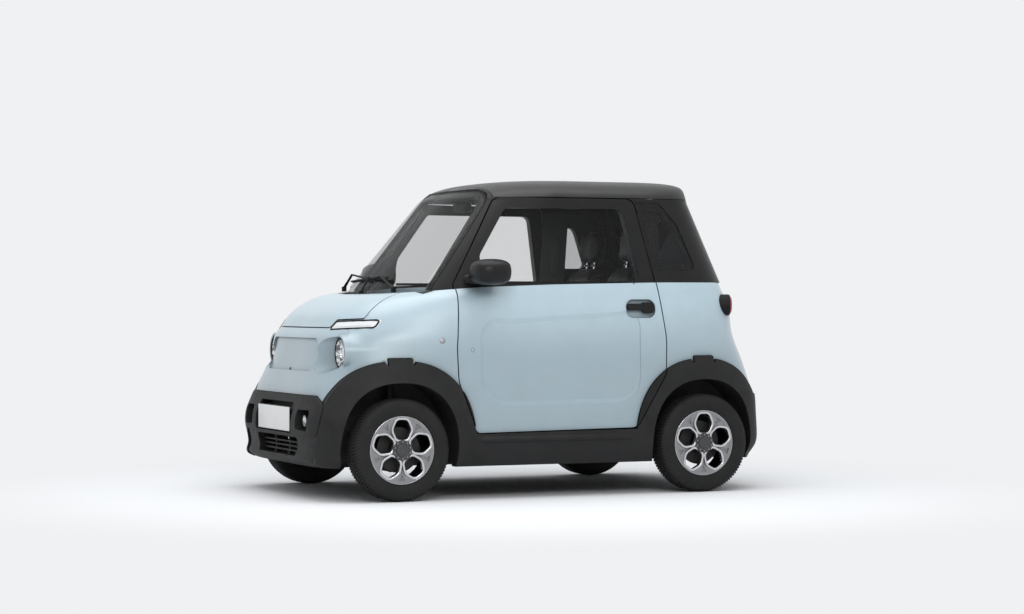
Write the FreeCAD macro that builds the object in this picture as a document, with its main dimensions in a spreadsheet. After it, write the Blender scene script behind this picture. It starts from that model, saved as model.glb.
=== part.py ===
import FreeCAD, Part
import math
import os

Vector = FreeCAD.Vector

# Two-seat electric microcar. +X is forward, +Y is left, +Z is up, ground at zero.
# The origin lies on the ground, on the centre line, midway between the wheels.

SIZES = {
    # Wheels and stance
    "wheelbase": 1670,
    "track": 1340,
    "tyre_radius": 254,
    "tyre_width": 145,
    "rim_radius": 168,
    "hub_radius": 52,
    "windows": 5,
    "kingpin_inset": 105,
    "brake_radius": 104,
    "stub_radius": 22,
    "upright_width": 40,
    "axle_radius": 30,
    "gear_case_radius": 92,
    "motor_radius": 74,
    "motor_length": 260,
    # Outer body
    "nose_reach": 1246,
    "tail_reach": 1246,
    "body_half": 738,
    "cabin_half": 684,
    "body_floor": 165,
    "belt_height": 1075,
    "roof_height": 1616,
    "clad_proud": 14,
    # Panel thickness and fits
    "side_wall": 46,
    "door_wall": 62,
    "cabin_wall": 38,
    "lid_wall": 24,
    "nose_wall": 80,
    "door_gap": 6,
    "seam": 3,
    "glass_thick": 5,
    "joint_gap": 0.4,
    # Arches and sill
    "arch_reach": 298,
    "arch_rise": 330,
    "flare_reach": 392,
    "flare_rise": 436,
    "sill_top": 331,
    "door_front": 540,
    "door_rear": -614,
    "door_top": 1513,
    "emboss_depth": 5,
    "emboss_slope": 24,
    "handle_depth": 20,
    # Nose, bumper and lamps
    "fascia_seam": 1040,
    "bonnet_lip": 857,
    "bonnet_half": 610,
    "nose_recess": 12,
    "hairline": 1,
    "bumper_step": 16,
    "bumper_top": 517,
    "headlamp_y": 510,
    "headlamp_z": 728,
    "headlamp_radius": 77,
    "lamp_depth": 60,
    "lamp_round": 8,
    "fog_y": 457,
    "fog_z": 390,
    "fog_radius": 34,
    "fog_depth": 24,
    "tail_lamp_y": 630,
    "tail_lamp_z": 967,
    "tail_lamp_radius": 56,
    "tail_lamp_depth": 76,
    "tail_lamp_splay": 22,
    "tail_lamp_round": 14,
    # Tailgate
    "hatch_half": 545,
    "hatch_low": 775,
    # Cabin
    "floor_top": 236,
    "floor_thick": 26,
    "rail_y": 300,
    "rail_width": 50,
    "rail_depth": 60,
    "rail_length": 2200,
    "seat_y": 248,
    "seat_width": 440,
    "cushion_top": 560,
    "steering_radius": 178,
    "steering_grip": 14,
    "steering_x": 196,
    "steering_z": 905,
}

doc = FreeCAD.newDocument("Microcar")
sheet = doc.addObject("Spreadsheet::Sheet", "Sizes")
for row, (word, number) in enumerate(SIZES.items(), start=1):
    sheet.set("A%d" % row, word)
    sheet.set("B%d" % row, str(number))
    sheet.setAlias("B%d" % row, word)
doc.recompute()


def size(word):
    return float(sheet.get(word))


AXLE_X = size("wheelbase") / 2
WHEEL_Y = size("track") / 2
AXLE_Z = size("tyre_radius")
BELT = size("belt_height")
FLOOR = size("body_floor")
ROOF = size("roof_height")
SEAM = size("seam")
GAP = size("door_gap")
FAR = 2 * size("nose_reach")

# Body sections: height share from floor to belt, then how far nose, tail and side draw in
# from the body's reach, then the squareness of the front and rear halves.
BODY_SECTIONS = (
    (0.000, 40, 44, 38, 6.0, 6.5),
    (0.070, 8, 8, 16, 6.0, 6.5),
    (0.170, 0, 0, 4, 6.0, 6.5),
    (0.280, 4, 2, 1, 6.0, 6.2),
    (0.368, 30, 6, 0, 5.5, 6.0),
    (0.434, 42, 12, 0, 5.0, 5.5),
    (0.500, 60, 26, 1, 4.4, 5.2),
    (0.566, 76, 44, 3, 4.1, 5.0),
    (0.643, 88, 75, 5, 3.8, 5.0),
    (0.709, 98, 98, 8, 3.6, 5.0),
    (0.764, 132, 107, 13, 3.5, 5.0),
    (0.819, 164, 110, 19, 3.4, 5.0),
    (0.874, 226, 112, 26, 3.4, 5.0),
    (0.923, 314, 132, 34, 3.4, 5.0),
    (0.962, 444, 158, 41, 3.4, 5.0),
    (1.000, 509, 173, 50, 3.3, 5.0),
    (1.040, 554, 188, 58, 3.2, 5.0),
)

# Cabin sections: height, then draw-in of nose, tail and side, then squareness. The glazed
# part runs straight from below the belt to the cant rail, and the roof crowns above it.
GLAZED_SECTIONS = (
    (-150, 372, 91, -18, 3.2, 5.0),
    (-116, 860, 343, 84, 3.0, 5.0),
)
CROWN_SECTIONS = (
    (-116, 860, 343, 84, 3.0, 5.0),
    (-81, 892, 348, 97, 3.0, 5.0),
    (-56, 938, 345, 120, 3.0, 4.8),
    (-36, 986, 343, 154, 3.0, 4.6),
    (-20, 1044, 358, 202, 2.9, 4.4),
    (-8, 1134, 398, 269, 2.8, 4.0),
    (-2, 1244, 468, 354, 2.6, 3.6),
)
STRAIGHT_SHARE = 0.24
POINTS_A_QUARTER = 6


def plan_points(height, nose, tail, half, front_power, rear_power):
    """Points of a plan outline: two superellipse ends and a straight middle stretch."""
    middle = (nose + tail) / 2
    straight = STRAIGHT_SHARE * (nose - tail) / 2
    points = []
    for step in range(4 * POINTS_A_QUARTER):
        angle = math.pi / 2 * (step / POINTS_A_QUARTER - 1)
        along = math.cos(angle)
        across = math.sin(angle)
        front = step <= 2 * POINTS_A_QUARTER
        power = front_power if front else rear_power
        start = middle + straight if front else middle - straight
        reach = nose - start if front else start - tail
        x = start
        if abs(along) > 1e-9:
            x += reach * math.copysign(abs(along) ** (2 / power), along)
        y = half * math.copysign(abs(across) ** (2 / power), across)
        points.append(Vector(x, y, height))
        if step == 2 * POINTS_A_QUARTER:
            points.append(Vector(middle, y, height))
            points.append(Vector(middle - straight, y, height))
    points.append(Vector(middle, points[0].y, height))
    return points


def even_parameters(points):
    """Curve parameters by distance round a closed outline, from 0 to 1."""
    marks = [0.0]
    for point, following in zip(points, points[1:] + points[:1]):
        marks.append(marks[-1] + point.distanceToPoint(following))
    return [mark / marks[-1] for mark in marks]


# Every outline shares these parameters, so that lofts stay light.
SHARED_PARAMETERS = even_parameters(plan_points(0, 1200, -1200, 730, 4.2, 5.2))


def plan_curve(*section):
    curve = Part.BSplineCurve()
    curve.interpolate(
        Points=plan_points(*section), PeriodicFlag=True, Parameters=SHARED_PARAMETERS)
    return Part.Wire([curve.toShape()])


def section_wire(height, section, half, grow):
    nose_in, tail_in, side_in, front_power, rear_power = section
    return plan_curve(
        height, size("nose_reach") - nose_in + grow, -size("tail_reach") + tail_in - grow,
        half - side_in + grow, front_power, rear_power)


def body_form(grow):
    wires = []
    for share, *section in BODY_SECTIONS:
        height = FLOOR + share * (BELT - FLOOR)
        wires.append(section_wire(height, section, size("body_half"), grow))
    return Part.makeLoft(wires, True, False, False)


def cabin_form(grow):
    half = size("cabin_half")
    glazed = [section_wire(BELT + GLAZED_SECTIONS[0][0], GLAZED_SECTIONS[0][1:], half, grow),
              section_wire(ROOF + GLAZED_SECTIONS[1][0], GLAZED_SECTIONS[1][1:], half, grow)]
    crown = [section_wire(ROOF + rise, section, half, grow)
             for rise, *section in CROWN_SECTIONS]
    lower = Part.makeLoft(glazed, True, True, False)
    return lower.fuse(Part.makeLoft(crown, True, False, False))


def on_side(point):
    return Vector(point.x, 0, point.y)


def on_plan(point):
    return Vector(point.x, point.y, 0)


def on_front(point):
    return Vector(0, point.x, point.y)


def rounded_face(corners, place):
    """Face whose straight sides meet in tangent arcs. A corner is two coordinates and a radius."""
    turns = []
    count = len(corners)
    for index in range(count):
        before = Vector(*corners[index - 1][:2], 0)
        corner = Vector(*corners[index][:2], 0)
        after = Vector(*corners[(index + 1) % count][:2], 0)
        radius = corners[index][2]
        back = (before - corner).normalize()
        ahead = (after - corner).normalize()
        half_angle = back.getAngle(ahead) / 2
        run = radius / math.tan(half_angle)
        bisector = (back + ahead).normalize() if radius else back
        middle = corner + bisector * (radius / math.sin(half_angle) - radius)
        turns.append((corner + back * run, middle, corner + ahead * run, radius))
    edges = []
    for index in range(count):
        start, middle, end, radius = turns[index]
        if radius:
            edges.append(Part.Arc(place(start), place(middle), place(end)).toShape())
        following = turns[(index + 1) % count][0]
        if end.distanceToPoint(following) > 1e-4:
            edges.append(Part.LineSegment(place(end), place(following)).toShape())
    return Part.Face(Part.Wire(edges))


def side_prism(corners, inner=0.0, outer=FAR):
    """Prism across the car from an outline in X and Z."""
    prism = rounded_face(corners, on_side).extrude(Vector(0, outer - inner, 0))
    prism.translate(Vector(0, inner, 0))
    return prism


def front_prism(corners, rear, front):
    """Prism along the car from an outline in Y and Z."""
    prism = rounded_face(corners, on_front).extrude(Vector(front - rear, 0, 0))
    prism.translate(Vector(rear, 0, 0))
    return prism


def plan_prism(corners, low, high):
    """Upright prism from an outline in X and Y."""
    prism = rounded_face(corners, on_plan).extrude(Vector(0, 0, high - low))
    prism.translate(Vector(0, 0, low))
    return prism


def box(x_low, x_high, y_low, y_high, z_low, z_high):
    corner = Vector(x_low, y_low, z_low)
    return Part.makeBox(x_high - x_low, y_high - y_low, z_high - z_low, corner)


def superellipse_prism(centre_x, reach, rise, inner, outer):
    """Wheel-arch opening: a superellipse about the axle, extruded across the car."""
    power = 2.3
    points = []
    count = 40
    for step in range(count):
        angle = 2 * math.pi * step / count
        along = math.cos(angle)
        up = math.sin(angle)
        points.append(Vector(
            centre_x + reach * math.copysign(abs(along) ** (2 / power), along),
            inner,
            AXLE_Z + rise * math.copysign(abs(up) ** (2 / power), up)))
    curve = Part.BSplineCurve()
    curve.interpolate(points, PeriodicFlag=True)
    face = Part.Face(Part.Wire([curve.toShape()]))
    return face.extrude(Vector(0, outer - inner, 0))


def oval_wire(x, y, z, half_y, half_z):
    """Oval outline across the car, for lofts along it."""
    points = []
    for step in range(16):
        angle = math.pi * step / 8
        points.append(Vector(x, y + half_y * math.cos(angle), z + half_z * math.sin(angle)))
    curve = Part.BSplineCurve()
    curve.interpolate(Points=points, PeriodicFlag=True)
    return Part.Wire([curve.toShape()])


def moved(shape, x=0.0, z=0.0):
    copy = shape.copy()
    copy.translate(Vector(x, 0, z))
    return copy


def mirrored(shape):
    return shape.mirror(Vector(0, 0, 0), Vector(0, 1, 0))


def both_sides(shape):
    return Part.makeCompound([shape, mirrored(shape)])


def main_solid(shape):
    return max(shape.Solids, key=lambda solid: solid.Volume)


def cylinder_y(x, y_low, y_high, z, radius):
    return Part.makeCylinder(radius, y_high - y_low, Vector(x, y_low, z), Vector(0, 1, 0))


def cylinder_x(x_low, x_high, y, z, radius):
    return Part.makeCylinder(radius, x_high - x_low, Vector(x_low, y, z), Vector(1, 0, 0))


def rod(start, end, radius):
    run = end - start
    return Part.makeCylinder(radius, run.Length, start, run)


PIECES = {}


def keep(name, shape, centre=None):
    """Put a finished shape into the document under its piece's name, at a centre if given."""
    feature = doc.addObject("Part::Feature", name)
    feature.Label = name
    feature.Shape = shape
    if centre is not None:
        feature.Placement = FreeCAD.Placement(centre, FreeCAD.Rotation())
    PIECES[name] = feature


TO_LEFT = FreeCAD.Rotation(Vector(1, 0, 0), -90)
TO_FRONT = FreeCAD.Rotation(Vector(0, 1, 0), 90)
TO_REAR = FreeCAD.Rotation(Vector(0, 1, 0), -90)
UPRIGHT = FreeCAD.Rotation()


def primitive(kind, label, corner, turn=UPRIGHT, **formulas):
    """Part primitive whose measures are formulas on the sheet."""
    item = doc.addObject("Part::" + kind, label)
    item.Label = label
    for field, formula in formulas.items():
        item.setExpression(field, formula)
    item.Placement = FreeCAD.Placement(corner, turn)
    return item


def joined(name, items):
    """One piece fused from primitives."""
    fused = doc.addObject("Part::MultiFuse", name)
    fused.Label = name
    fused.Shapes = items
    PIECES[name] = fused
    return fused


def mirror_of(item, label):
    other = doc.addObject("Part::Mirroring", label)
    other.Label = label
    other.Source = item
    other.Normal = Vector(0, 1, 0)
    return other


def paired(name, item):
    """One piece of two like solids, left and right."""
    pair = doc.addObject("Part::Compound", name)
    pair.Label = name
    pair.Links = [item, mirror_of(item, name + "_right")]
    PIECES[name] = pair


def lens(label, face, turn, radius, depth, rounding):
    """Round lamp with a rounded rim. It runs back from its face, which looks along its axis."""
    axis = turn.multVec(Vector(0, 0, 1))
    edge = face - axis * size(rounding)
    ring = doc.addObject("Part::Torus", label + "_rim")
    ring.setExpression("Radius1", "Sizes.%s - Sizes.%s" % (radius, rounding))
    ring.setExpression("Radius2", "Sizes." + rounding)
    ring.Placement = FreeCAD.Placement(edge, turn)
    case = primitive(
        "Cylinder", label + "_case", face - axis * size(depth), turn,
        Radius="Sizes." + radius, Height="Sizes.%s - Sizes.%s" % (depth, rounding))
    front = primitive(
        "Cylinder", label + "_front", edge, turn,
        Radius="Sizes.%s - Sizes.%s" % (radius, rounding), Height="Sizes." + rounding)
    whole = doc.addObject("Part::MultiFuse", label)
    whole.Label = label
    whole.Shapes = [ring, case, front]
    return whole


# Main forms

body = body_form(0)
body_inside = body_form(-size("side_wall"))
body_clad = body_form(size("clad_proud"))
door_inside = body_form(-size("door_wall"))
cabin = cabin_form(0)
cabin_inside = cabin_form(-size("cabin_wall"))
cabin_inside.translate(Vector(0, 0, -size("lid_wall")))

side_shell = body.cut(body_inside)
clad_shell = body_clad.cut(body_inside)
cabin_shell = cabin.cut(cabin_inside)


def belt_prism(above):
    """Space below or above the belt line, which falls gently towards the nose."""
    edge = [
        (FAR, BELT - 66, 0), (900, BELT - 58, 0), (400, BELT - 19, 1500),
        (0, BELT - 4, 2500), (-600, BELT + 8, 2500), (-FAR, BELT + 15, 0)]
    end = FAR if above else -FAR
    return side_prism(edge + [(-FAR, end, 0), (FAR, end, 0)], -FAR, FAR)


below_belt = belt_prism(False)
above_belt = belt_prism(True)

# Door outline, seen from the side

door_front = size("door_front")
door_rear = size("door_rear")
door_top = size("door_top")
sill_top = size("sill_top")
frame_top_front = 248
frame_top_rear = -488
DOOR_CORNERS = (
    (door_front - 26, BELT - 2, 0),
    (door_front, BELT - 325, 400),
    (door_front - 6, 588, 160),
    (door_front - 103, sill_top, 28),
    (door_rear + 172, sill_top + 12, 38),
    (door_rear + 2, 625, 120),
    (door_rear - 2, BELT - 275, 500),
    (door_rear + 37, BELT + 10, 300),
    (frame_top_rear, door_top, 52),
    (frame_top_front, door_top, 52),
)
door_face = rounded_face(DOOR_CORNERS, on_side)
door_prism = door_face.extrude(Vector(0, FAR, 0))
opening_wire = door_face.OuterWire.makeOffset2D(GAP)
opening_prism = Part.Face(opening_wire).extrude(Vector(0, FAR, 0))

# Arches and flares

FLARE_INNER = 540
TAB_WIDTH = 118
TAB_RISE = 14
TAB_NOTCH = 20


def flare_prism(centre_x, grow=0.0):
    flare = superellipse_prism(
        centre_x, size("flare_reach") + grow, size("flare_rise") + grow,
        FLARE_INNER - grow, FAR)
    top = AXLE_Z + size("flare_rise") + TAB_RISE + grow
    half_tab = TAB_WIDTH / 2 + grow
    tab = side_prism([
        (centre_x - half_tab - 6, top - 60, 0), (centre_x + half_tab + 6, top - 60, 0),
        (centre_x + half_tab, top, 9), (centre_x - half_tab, top, 9)], FLARE_INNER - grow)
    notches = []
    for turn in (1, -1):
        inner = centre_x + turn * half_tab
        outer = centre_x + turn * (TAB_WIDTH / 2 - grow)
        floor = AXLE_Z + size("flare_rise") - TAB_NOTCH + grow
        notches.append(side_prism([
            (inner, top + 40, 0), (inner, floor, 0),
            (outer + turn * 9, floor, 0), (outer + turn * 44, top + 40, 0)], FLARE_INNER - grow))
    return flare.fuse(tab).cut(notches)


front_arch = superellipse_prism(AXLE_X, size("arch_reach"), size("arch_rise"), 0, FAR)
rear_arch = superellipse_prism(-AXLE_X, size("arch_reach"), size("arch_rise"), 0, FAR)
front_flare = flare_prism(AXLE_X)
rear_flare = flare_prism(-AXLE_X)
front_flare_seam = flare_prism(AXLE_X, SEAM)
rear_flare_seam = flare_prism(-AXLE_X, SEAM)

sill_prism = side_prism([
    (AXLE_X, FLOOR - 20, 0), (AXLE_X, sill_top - GAP, 0),
    (-AXLE_X, sill_top - GAP + 12, 0), (-AXLE_X, FLOOR - 20, 0)])
sill_seam = side_prism([
    (AXLE_X, FLOOR - 20, 0), (AXLE_X, sill_top - GAP + SEAM, 0),
    (-AXLE_X, sill_top - GAP + 12 + SEAM, 0), (-AXLE_X, FLOOR - 20, 0)])

# Front end outlines

BUMPER_FRONT = (
    (-760, FLOOR - 20, 0), (760, FLOOR - 20, 0), (760, 322, 0), (628, 338, 24),
    (612, 452, 30), (490, size("bumper_top"), 26), (-490, size("bumper_top"), 26),
    (-612, 452, 30), (-628, 338, 24), (-760, 322, 0))
bumper_region = front_prism(BUMPER_FRONT, 900, FAR)
bumper_seam_region = front_prism(
    [(y * 1.005, z + SEAM if z > 320 else z, r) for y, z, r in BUMPER_FRONT], 900, FAR)

lip = size("bonnet_lip")
bonnet_half = size("bonnet_half")


def behind_cowl(shift, half):
    """Upright space behind the arc where the bonnet ends."""
    side = 670
    arc_side = 655 + shift
    arc = Part.Arc(
        Vector(arc_side, -side, 0), Vector(822 + shift, 0, 0), Vector(arc_side, side, 0))
    corners = [
        Vector(arc_side, side, 0), Vector(480, side, 0),
        Vector(480, -side, 0), Vector(arc_side, -side, 0)]
    lines = [Part.LineSegment(a, b).toShape() for a, b in zip(corners, corners[1:])]
    prism = Part.Face(Part.Wire([arc.toShape()] + lines)).extrude(Vector(0, 0, FAR))
    return prism.common(box(0, FAR, -half, half, 900, 1200))


def bonnet_region(grow):
    """Space above the bonnet's shut line, ahead of the cowl and between its side seams."""
    front = front_prism([
        (-bonnet_half - grow, FAR, 0), (-bonnet_half - grow, lip + 48 - grow, 10),
        (-402 - grow, lip + 39 - grow, 14), (-386 - grow, lip - grow, 20),
        (386 + grow, lip - grow, 20), (402 + grow, lip + 39 - grow, 14),
        (bonnet_half + grow, lip + 48 - grow, 10), (bonnet_half + grow, FAR, 0)],
        500, FAR)
    plan = plan_prism([
        (520, -455 - grow, 0), (935, -545 - grow, 220), (FAR, -760 - grow, 0),
        (FAR, 760 + grow, 0), (935, 545 + grow, 220), (520, 455 + grow, 0)], 0, FAR)
    return front.common(plan).cut(behind_cowl(-grow, 700))


bonnet_space = bonnet_region(0)
bonnet_cut = bonnet_region(GAP)

# Bonnet: a skin of even height under the outer form

body_lower = moved(body, z=-size("lid_wall"))
bonnet = body.common(bonnet_space).common(below_belt).cut(body_lower)
keep("bonnet", main_solid(bonnet.cut(cabin_form(SEAM + 2))))

cowl_space = behind_cowl(-GAP, bonnet_half)
cowl = body.common(cowl_space).common(below_belt).cut(body_lower).cut(cabin)
keep("cowl", main_solid(cowl))

# Fenders

hairline = size("hairline")
fender = side_shell.common(box(420, size("fascia_seam") - hairline, 0, FAR, sill_top, 1200))
fender = fender.common(below_belt).cut(opening_prism).cut(front_flare_seam).cut(sill_seam)
fender = fender.cut(bonnet_cut).cut(front_prism(BUMPER_FRONT, 900, FAR))
fender = main_solid(fender.cut(behind_cowl(SEAM - GAP, bonnet_half + SEAM)))
keep("fenders", both_sides(fender))

# Front fascia with its set-back nose panel and lamp bowls

fascia = body.common(box(size("fascia_seam"), FAR, -FAR, FAR, 300, lip + 48))
fascia = fascia.cut(moved(body, x=-size("nose_wall"))).cut(bumper_seam_region)
fascia = fascia.cut(bonnet_cut).cut(front_flare_seam).cut(mirrored(front_flare_seam))
nose_step = moved(body, x=-size("nose_recess"))
nose_window = front_prism([
    (-345, 636, 30), (345, 636, 30), (350, 802, 40), (-350, 802, 40)], 900, FAR)
fascia = fascia.cut(nose_window.cut(nose_step))
lamp_y = size("headlamp_y")
lamp_z = size("headlamp_z")
lamp_radius = size("headlamp_radius")
lamp_face = 1078
pod_reach = 140


def lamp_pod(turn, grow):
    """Flared surround that runs back from a headlamp's rim into the fender."""
    rim = lamp_radius + 14 + grow
    return Part.makeLoft([
        oval_wire(lamp_face + 6 - pod_reach, turn * (lamp_y + 20), lamp_z, 130 + grow, 106 + grow),
        oval_wire(lamp_face + 6, turn * lamp_y, lamp_z, rim, rim)], True, True)


for turn, flare_side in ((1, front_flare_seam), (-1, mirrored(front_flare_seam))):
    centre_y = turn * lamp_y
    bowl = Part.makeLoft([
        oval_wire(lamp_face - 12, centre_y, lamp_z, lamp_radius + 3, lamp_radius + 3),
        oval_wire(lamp_face + 88, turn * (lamp_y - 55), lamp_z - 4, 140, 100)], True, True)
    socket = cylinder_x(900, FAR, centre_y, lamp_z, lamp_radius + size("joint_gap"))
    fascia = fascia.fuse(lamp_pod(turn, 0).cut(flare_side)).cut([bowl, socket])
    if turn > 0:
        fender = fender.cut([lamp_pod(turn, hairline), socket])
fascia = main_solid(fascia)

# Daytime lamps: slim slanted lenses let into the fascia and fender under the bonnet edge

DAYTIME = [
    (392, lip - 14, 6), (622, lip - 3, 8), (619, lip + 38, 8), (408, lip + 30, 6)]
daytime_space = front_prism(DAYTIME, 700, FAR)
daytime_back = body_form(-16)
daytime = main_solid(body.common(daytime_space).cut(daytime_back))
PIECES["fenders"].Shape = both_sides(main_solid(fender.cut(daytime_space.cut(daytime_back))))
both_daytime = both_sides(daytime_space.cut(daytime_back))
keep("front_fascia", main_solid(fascia.cut(both_daytime)))
keep("daytime_lamps", both_sides(daytime))

paired("headlamps", lens(
    "headlamp_left", Vector(lamp_face, lamp_y, lamp_z), TO_FRONT,
    "headlamp_radius", "lamp_depth", "lamp_round"))

# Front bumper with plate seat, fog lamp pockets and a slatted intake

bumper = body_clad.common(bumper_region).cut(moved(body_clad, x=-size("nose_wall")))
bumper = bumper.cut(front_flare_seam).cut(mirrored(front_flare_seam))
low_band = box(900, FAR, -FAR, FAR, 0, 320)
bumper = bumper.cut(low_band.cut(moved(body_clad, x=-size("bumper_step"))))
plate_window = front_prism([
    (-286, 326, 14), (286, 326, 14), (286, 458, 14), (-286, 458, 14)], 900, FAR)
bumper = bumper.cut(plate_window.cut(moved(body_clad, x=-20)))
plate_slot = front_prism([
    (-262, 456, 4), (262, 456, 4), (262, 480, 6), (-262, 480, 6)], 900, FAR)
bumper = bumper.cut(plate_slot.cut(moved(body_clad, x=-52)))
intake = front_prism([
    (-292, 212, 20), (292, 212, 20), (330, 306, 20), (-330, 306, 20)], 900, FAR)
bumper = bumper.cut(intake)
pocket_back = moved(body_clad, x=-58)
for turn in (1, -1):
    fog_socket = cylinder_x(
        900, FAR, turn * size("fog_y"), size("fog_z"), size("fog_radius") + size("joint_gap"))
    fog_pocket = front_prism([
        (turn * 348, 350, 18), (turn * 490, 342, 20),
        (turn * 502, 448, 24), (turn * 348, 448, 18)], 1120, FAR)
    bumper = bumper.cut(fog_pocket.cut(pocket_back)).cut(fog_socket)
bumper = main_solid(bumper)
slat_ring = moved(body_clad, x=-44).common(box(1000, FAR, -340, 340, 200, 312))
slat_ring = slat_ring.cut(moved(body_clad, x=-72))
slats = []
for level in (228, 250, 272):
    slats.append(slat_ring.common(box(900, FAR, -340, 340, level, level + 8)))
for post_y in (-110, 110):
    slats.append(slat_ring.common(box(900, FAR, post_y - 5, post_y + 5, 200, 312)))
bumper = main_solid(bumper.fuse(slats))
keep("front_bumper", bumper)
fog_face = 1172
paired("fog_lamps", primitive(
    "Cylinder", "fog_lamp_left", Vector(fog_face - size("fog_depth"), size("fog_y"), size("fog_z")),
    TO_FRONT, Radius="Sizes.fog_radius", Height="Sizes.fog_depth"))

# Cladding: flares and sills as one moulding a side

clad_space = front_flare.fuse([rear_flare, sill_prism])
cladding = clad_shell.common(clad_space).cut(opening_prism)
cladding = cladding.cut(front_arch).cut(rear_arch)
cladding = cladding.common(box(-FAR, FAR, 0, FAR, FLOOR, 900))
keep("cladding", both_sides(main_solid(cladding)))

# Rear end

hatch_half = size("hatch_half")
hatch_low = size("hatch_low")
hatch_top = ROOF - 76


def hatch_region(grow):
    return front_prism([
        (-hatch_half - grow, hatch_low - grow, 60), (hatch_half + grow, hatch_low - grow, 60),
        (hatch_half + grow, BELT, 80), (hatch_half - 62 + grow, hatch_top + grow, 60),
        (-hatch_half + 62 - grow, hatch_top + grow, 60), (-hatch_half - grow, BELT, 80)],
        -FAR, -700)


hatch_space = hatch_region(0)
hatch_cut = hatch_region(GAP)
rear_bumper_top = 500

tail_y = size("tail_lamp_y")
tail_z = size("tail_lamp_z")
tail_radius = size("tail_lamp_radius")
tail_face = Vector(-1053, tail_y, tail_z)
tail_turn = FreeCAD.Rotation(Vector(0, 0, 1), -size("tail_lamp_splay")) * TO_REAR
tail_axis = tail_turn.multVec(Vector(0, 0, 1))
tail_socket = Part.makeCylinder(
    tail_radius + size("joint_gap"), FAR, tail_face - tail_axis * (size("tail_lamp_depth") + 4),
    tail_axis)

quarter = side_shell.common(box(-FAR, door_rear + 160, 0, FAR, sill_top, 1200))
quarter = quarter.common(below_belt).cut(opening_prism).cut(rear_flare_seam).cut(sill_seam)
quarter = quarter.cut(hatch_cut).cut(box(-FAR, -1000, 0, hatch_half, 300, hatch_low))
quarter = quarter.cut(box(-FAR, -1000, 0, FAR, 100, rear_bumper_top + SEAM)).cut(tail_socket)
keep("quarter_panels", both_sides(main_solid(quarter)))
paired("tail_lamps", lens(
    "tail_lamp_left", tail_face, tail_turn,
    "tail_lamp_radius", "tail_lamp_depth", "tail_lamp_round"))

rear_back = moved(body, x=size("side_wall"))
rear_panel = body.common(box(
    -FAR, -900, SEAM - hatch_half, hatch_half - SEAM, rear_bumper_top + SEAM, hatch_low - GAP))
rear_panel = rear_panel.cut([rear_back, rear_flare_seam, mirrored(rear_flare_seam)])
keep("rear_panel", main_solid(rear_panel))

rear_bumper = body_clad.common(box(-FAR, -900, -FAR, FAR, FLOOR, rear_bumper_top))
rear_bumper = rear_bumper.cut(moved(body_clad, x=size("nose_wall")))
rear_bumper = rear_bumper.cut(rear_flare_seam).cut(mirrored(rear_flare_seam))
keep("rear_bumper", main_solid(rear_bumper))

hatch_panel = body.common(hatch_space).common(below_belt).cut(rear_back)
keep("hatch_panel", main_solid(hatch_panel))

hatch_frame = cabin.common(hatch_space).common(above_belt)
hatch_frame = hatch_frame.cut(moved(cabin, x=size("cabin_wall")))
hatch_window = front_prism([
    (-hatch_half + 46, BELT + 60, 40), (hatch_half - 46, BELT + 60, 40),
    (hatch_half - 104, hatch_top - 44, 40), (-hatch_half + 104, hatch_top - 44, 40)],
    -FAR, -700)
hatch_frame = hatch_frame.cut(hatch_window)
keep("hatch_frame", main_solid(hatch_frame))
hatch_glass = moved(cabin, x=6).common(hatch_window)
hatch_glass = hatch_glass.cut(moved(cabin, x=6 + size("glass_thick")))
keep("hatch_glass", main_solid(hatch_glass))

# Doors

pane = size("glass_thick")
door_glass_prism = side_prism([
    (372, BELT - 6, 0), (372, BELT + 142, 60), (214, door_top - 54, 40),
    (-420, door_top - 54, 46), (-496, BELT + 18, 0), (0, BELT + 4, 0)])
door_shell = body.common(door_prism).common(below_belt).cut(door_inside)
door_shell = door_shell.cut(front_flare_seam).cut(rear_flare_seam)
door_shell = main_solid(door_shell)

EMBOSS = ((418, 892, 95), (-470, 938, 70), (-466, 472, 130), (418, 460, 150))


def skin_half(height):
    """Half width of the body's skin at a height, midway along the car."""
    share = (height - FLOOR) / (BELT - FLOOR)
    for low, high in zip(BODY_SECTIONS, BODY_SECTIONS[1:]):
        if low[0] <= share <= high[0]:
            part = (share - low[0]) / (high[0] - low[0])
            return size("body_half") - low[3] - part * (high[3] - low[3])
    raise ValueError("height is off the body")


def periodic_wire(points):
    curve = Part.BSplineCurve()
    curve.interpolate(Points=points, PeriodicFlag=True)
    return Part.Wire([curve.toShape()])


def embossing(corners, depth, slope):
    """Tool that sinks a door panel by a depth behind a gentle slope round its edge."""
    outline = rounded_face(corners, on_plan).OuterWire.discretize(Number=49)[:-1]
    centre = Vector(sum(p.x for p in outline), sum(p.y for p in outline), 0) / len(outline)
    mouth, rim, foot, end = [], [], [], []
    for before, point, after in zip(
            outline[-1:] + outline[:-1], outline, outline[1:] + outline[:1]):
        run = (after - before).normalize()
        inward = Vector(-run.y, run.x, 0)
        if inward.dot(centre - point) < 0:
            inward = -inward
        inset = point + inward * slope
        mouth.append(Vector(point.x, size("body_half") + 40, point.y))
        rim.append(Vector(point.x, skin_half(point.y) + 0.2, point.y))
        foot.append(Vector(inset.x, skin_half(inset.y) - depth, inset.y))
        end.append(Vector(inset.x, size("cabin_half") - 60, inset.y))
    wires = [periodic_wire(ring) for ring in (mouth, rim, foot, end)]
    return Part.makeLoft(wires, True, True).cut(body_form(-depth))


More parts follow.
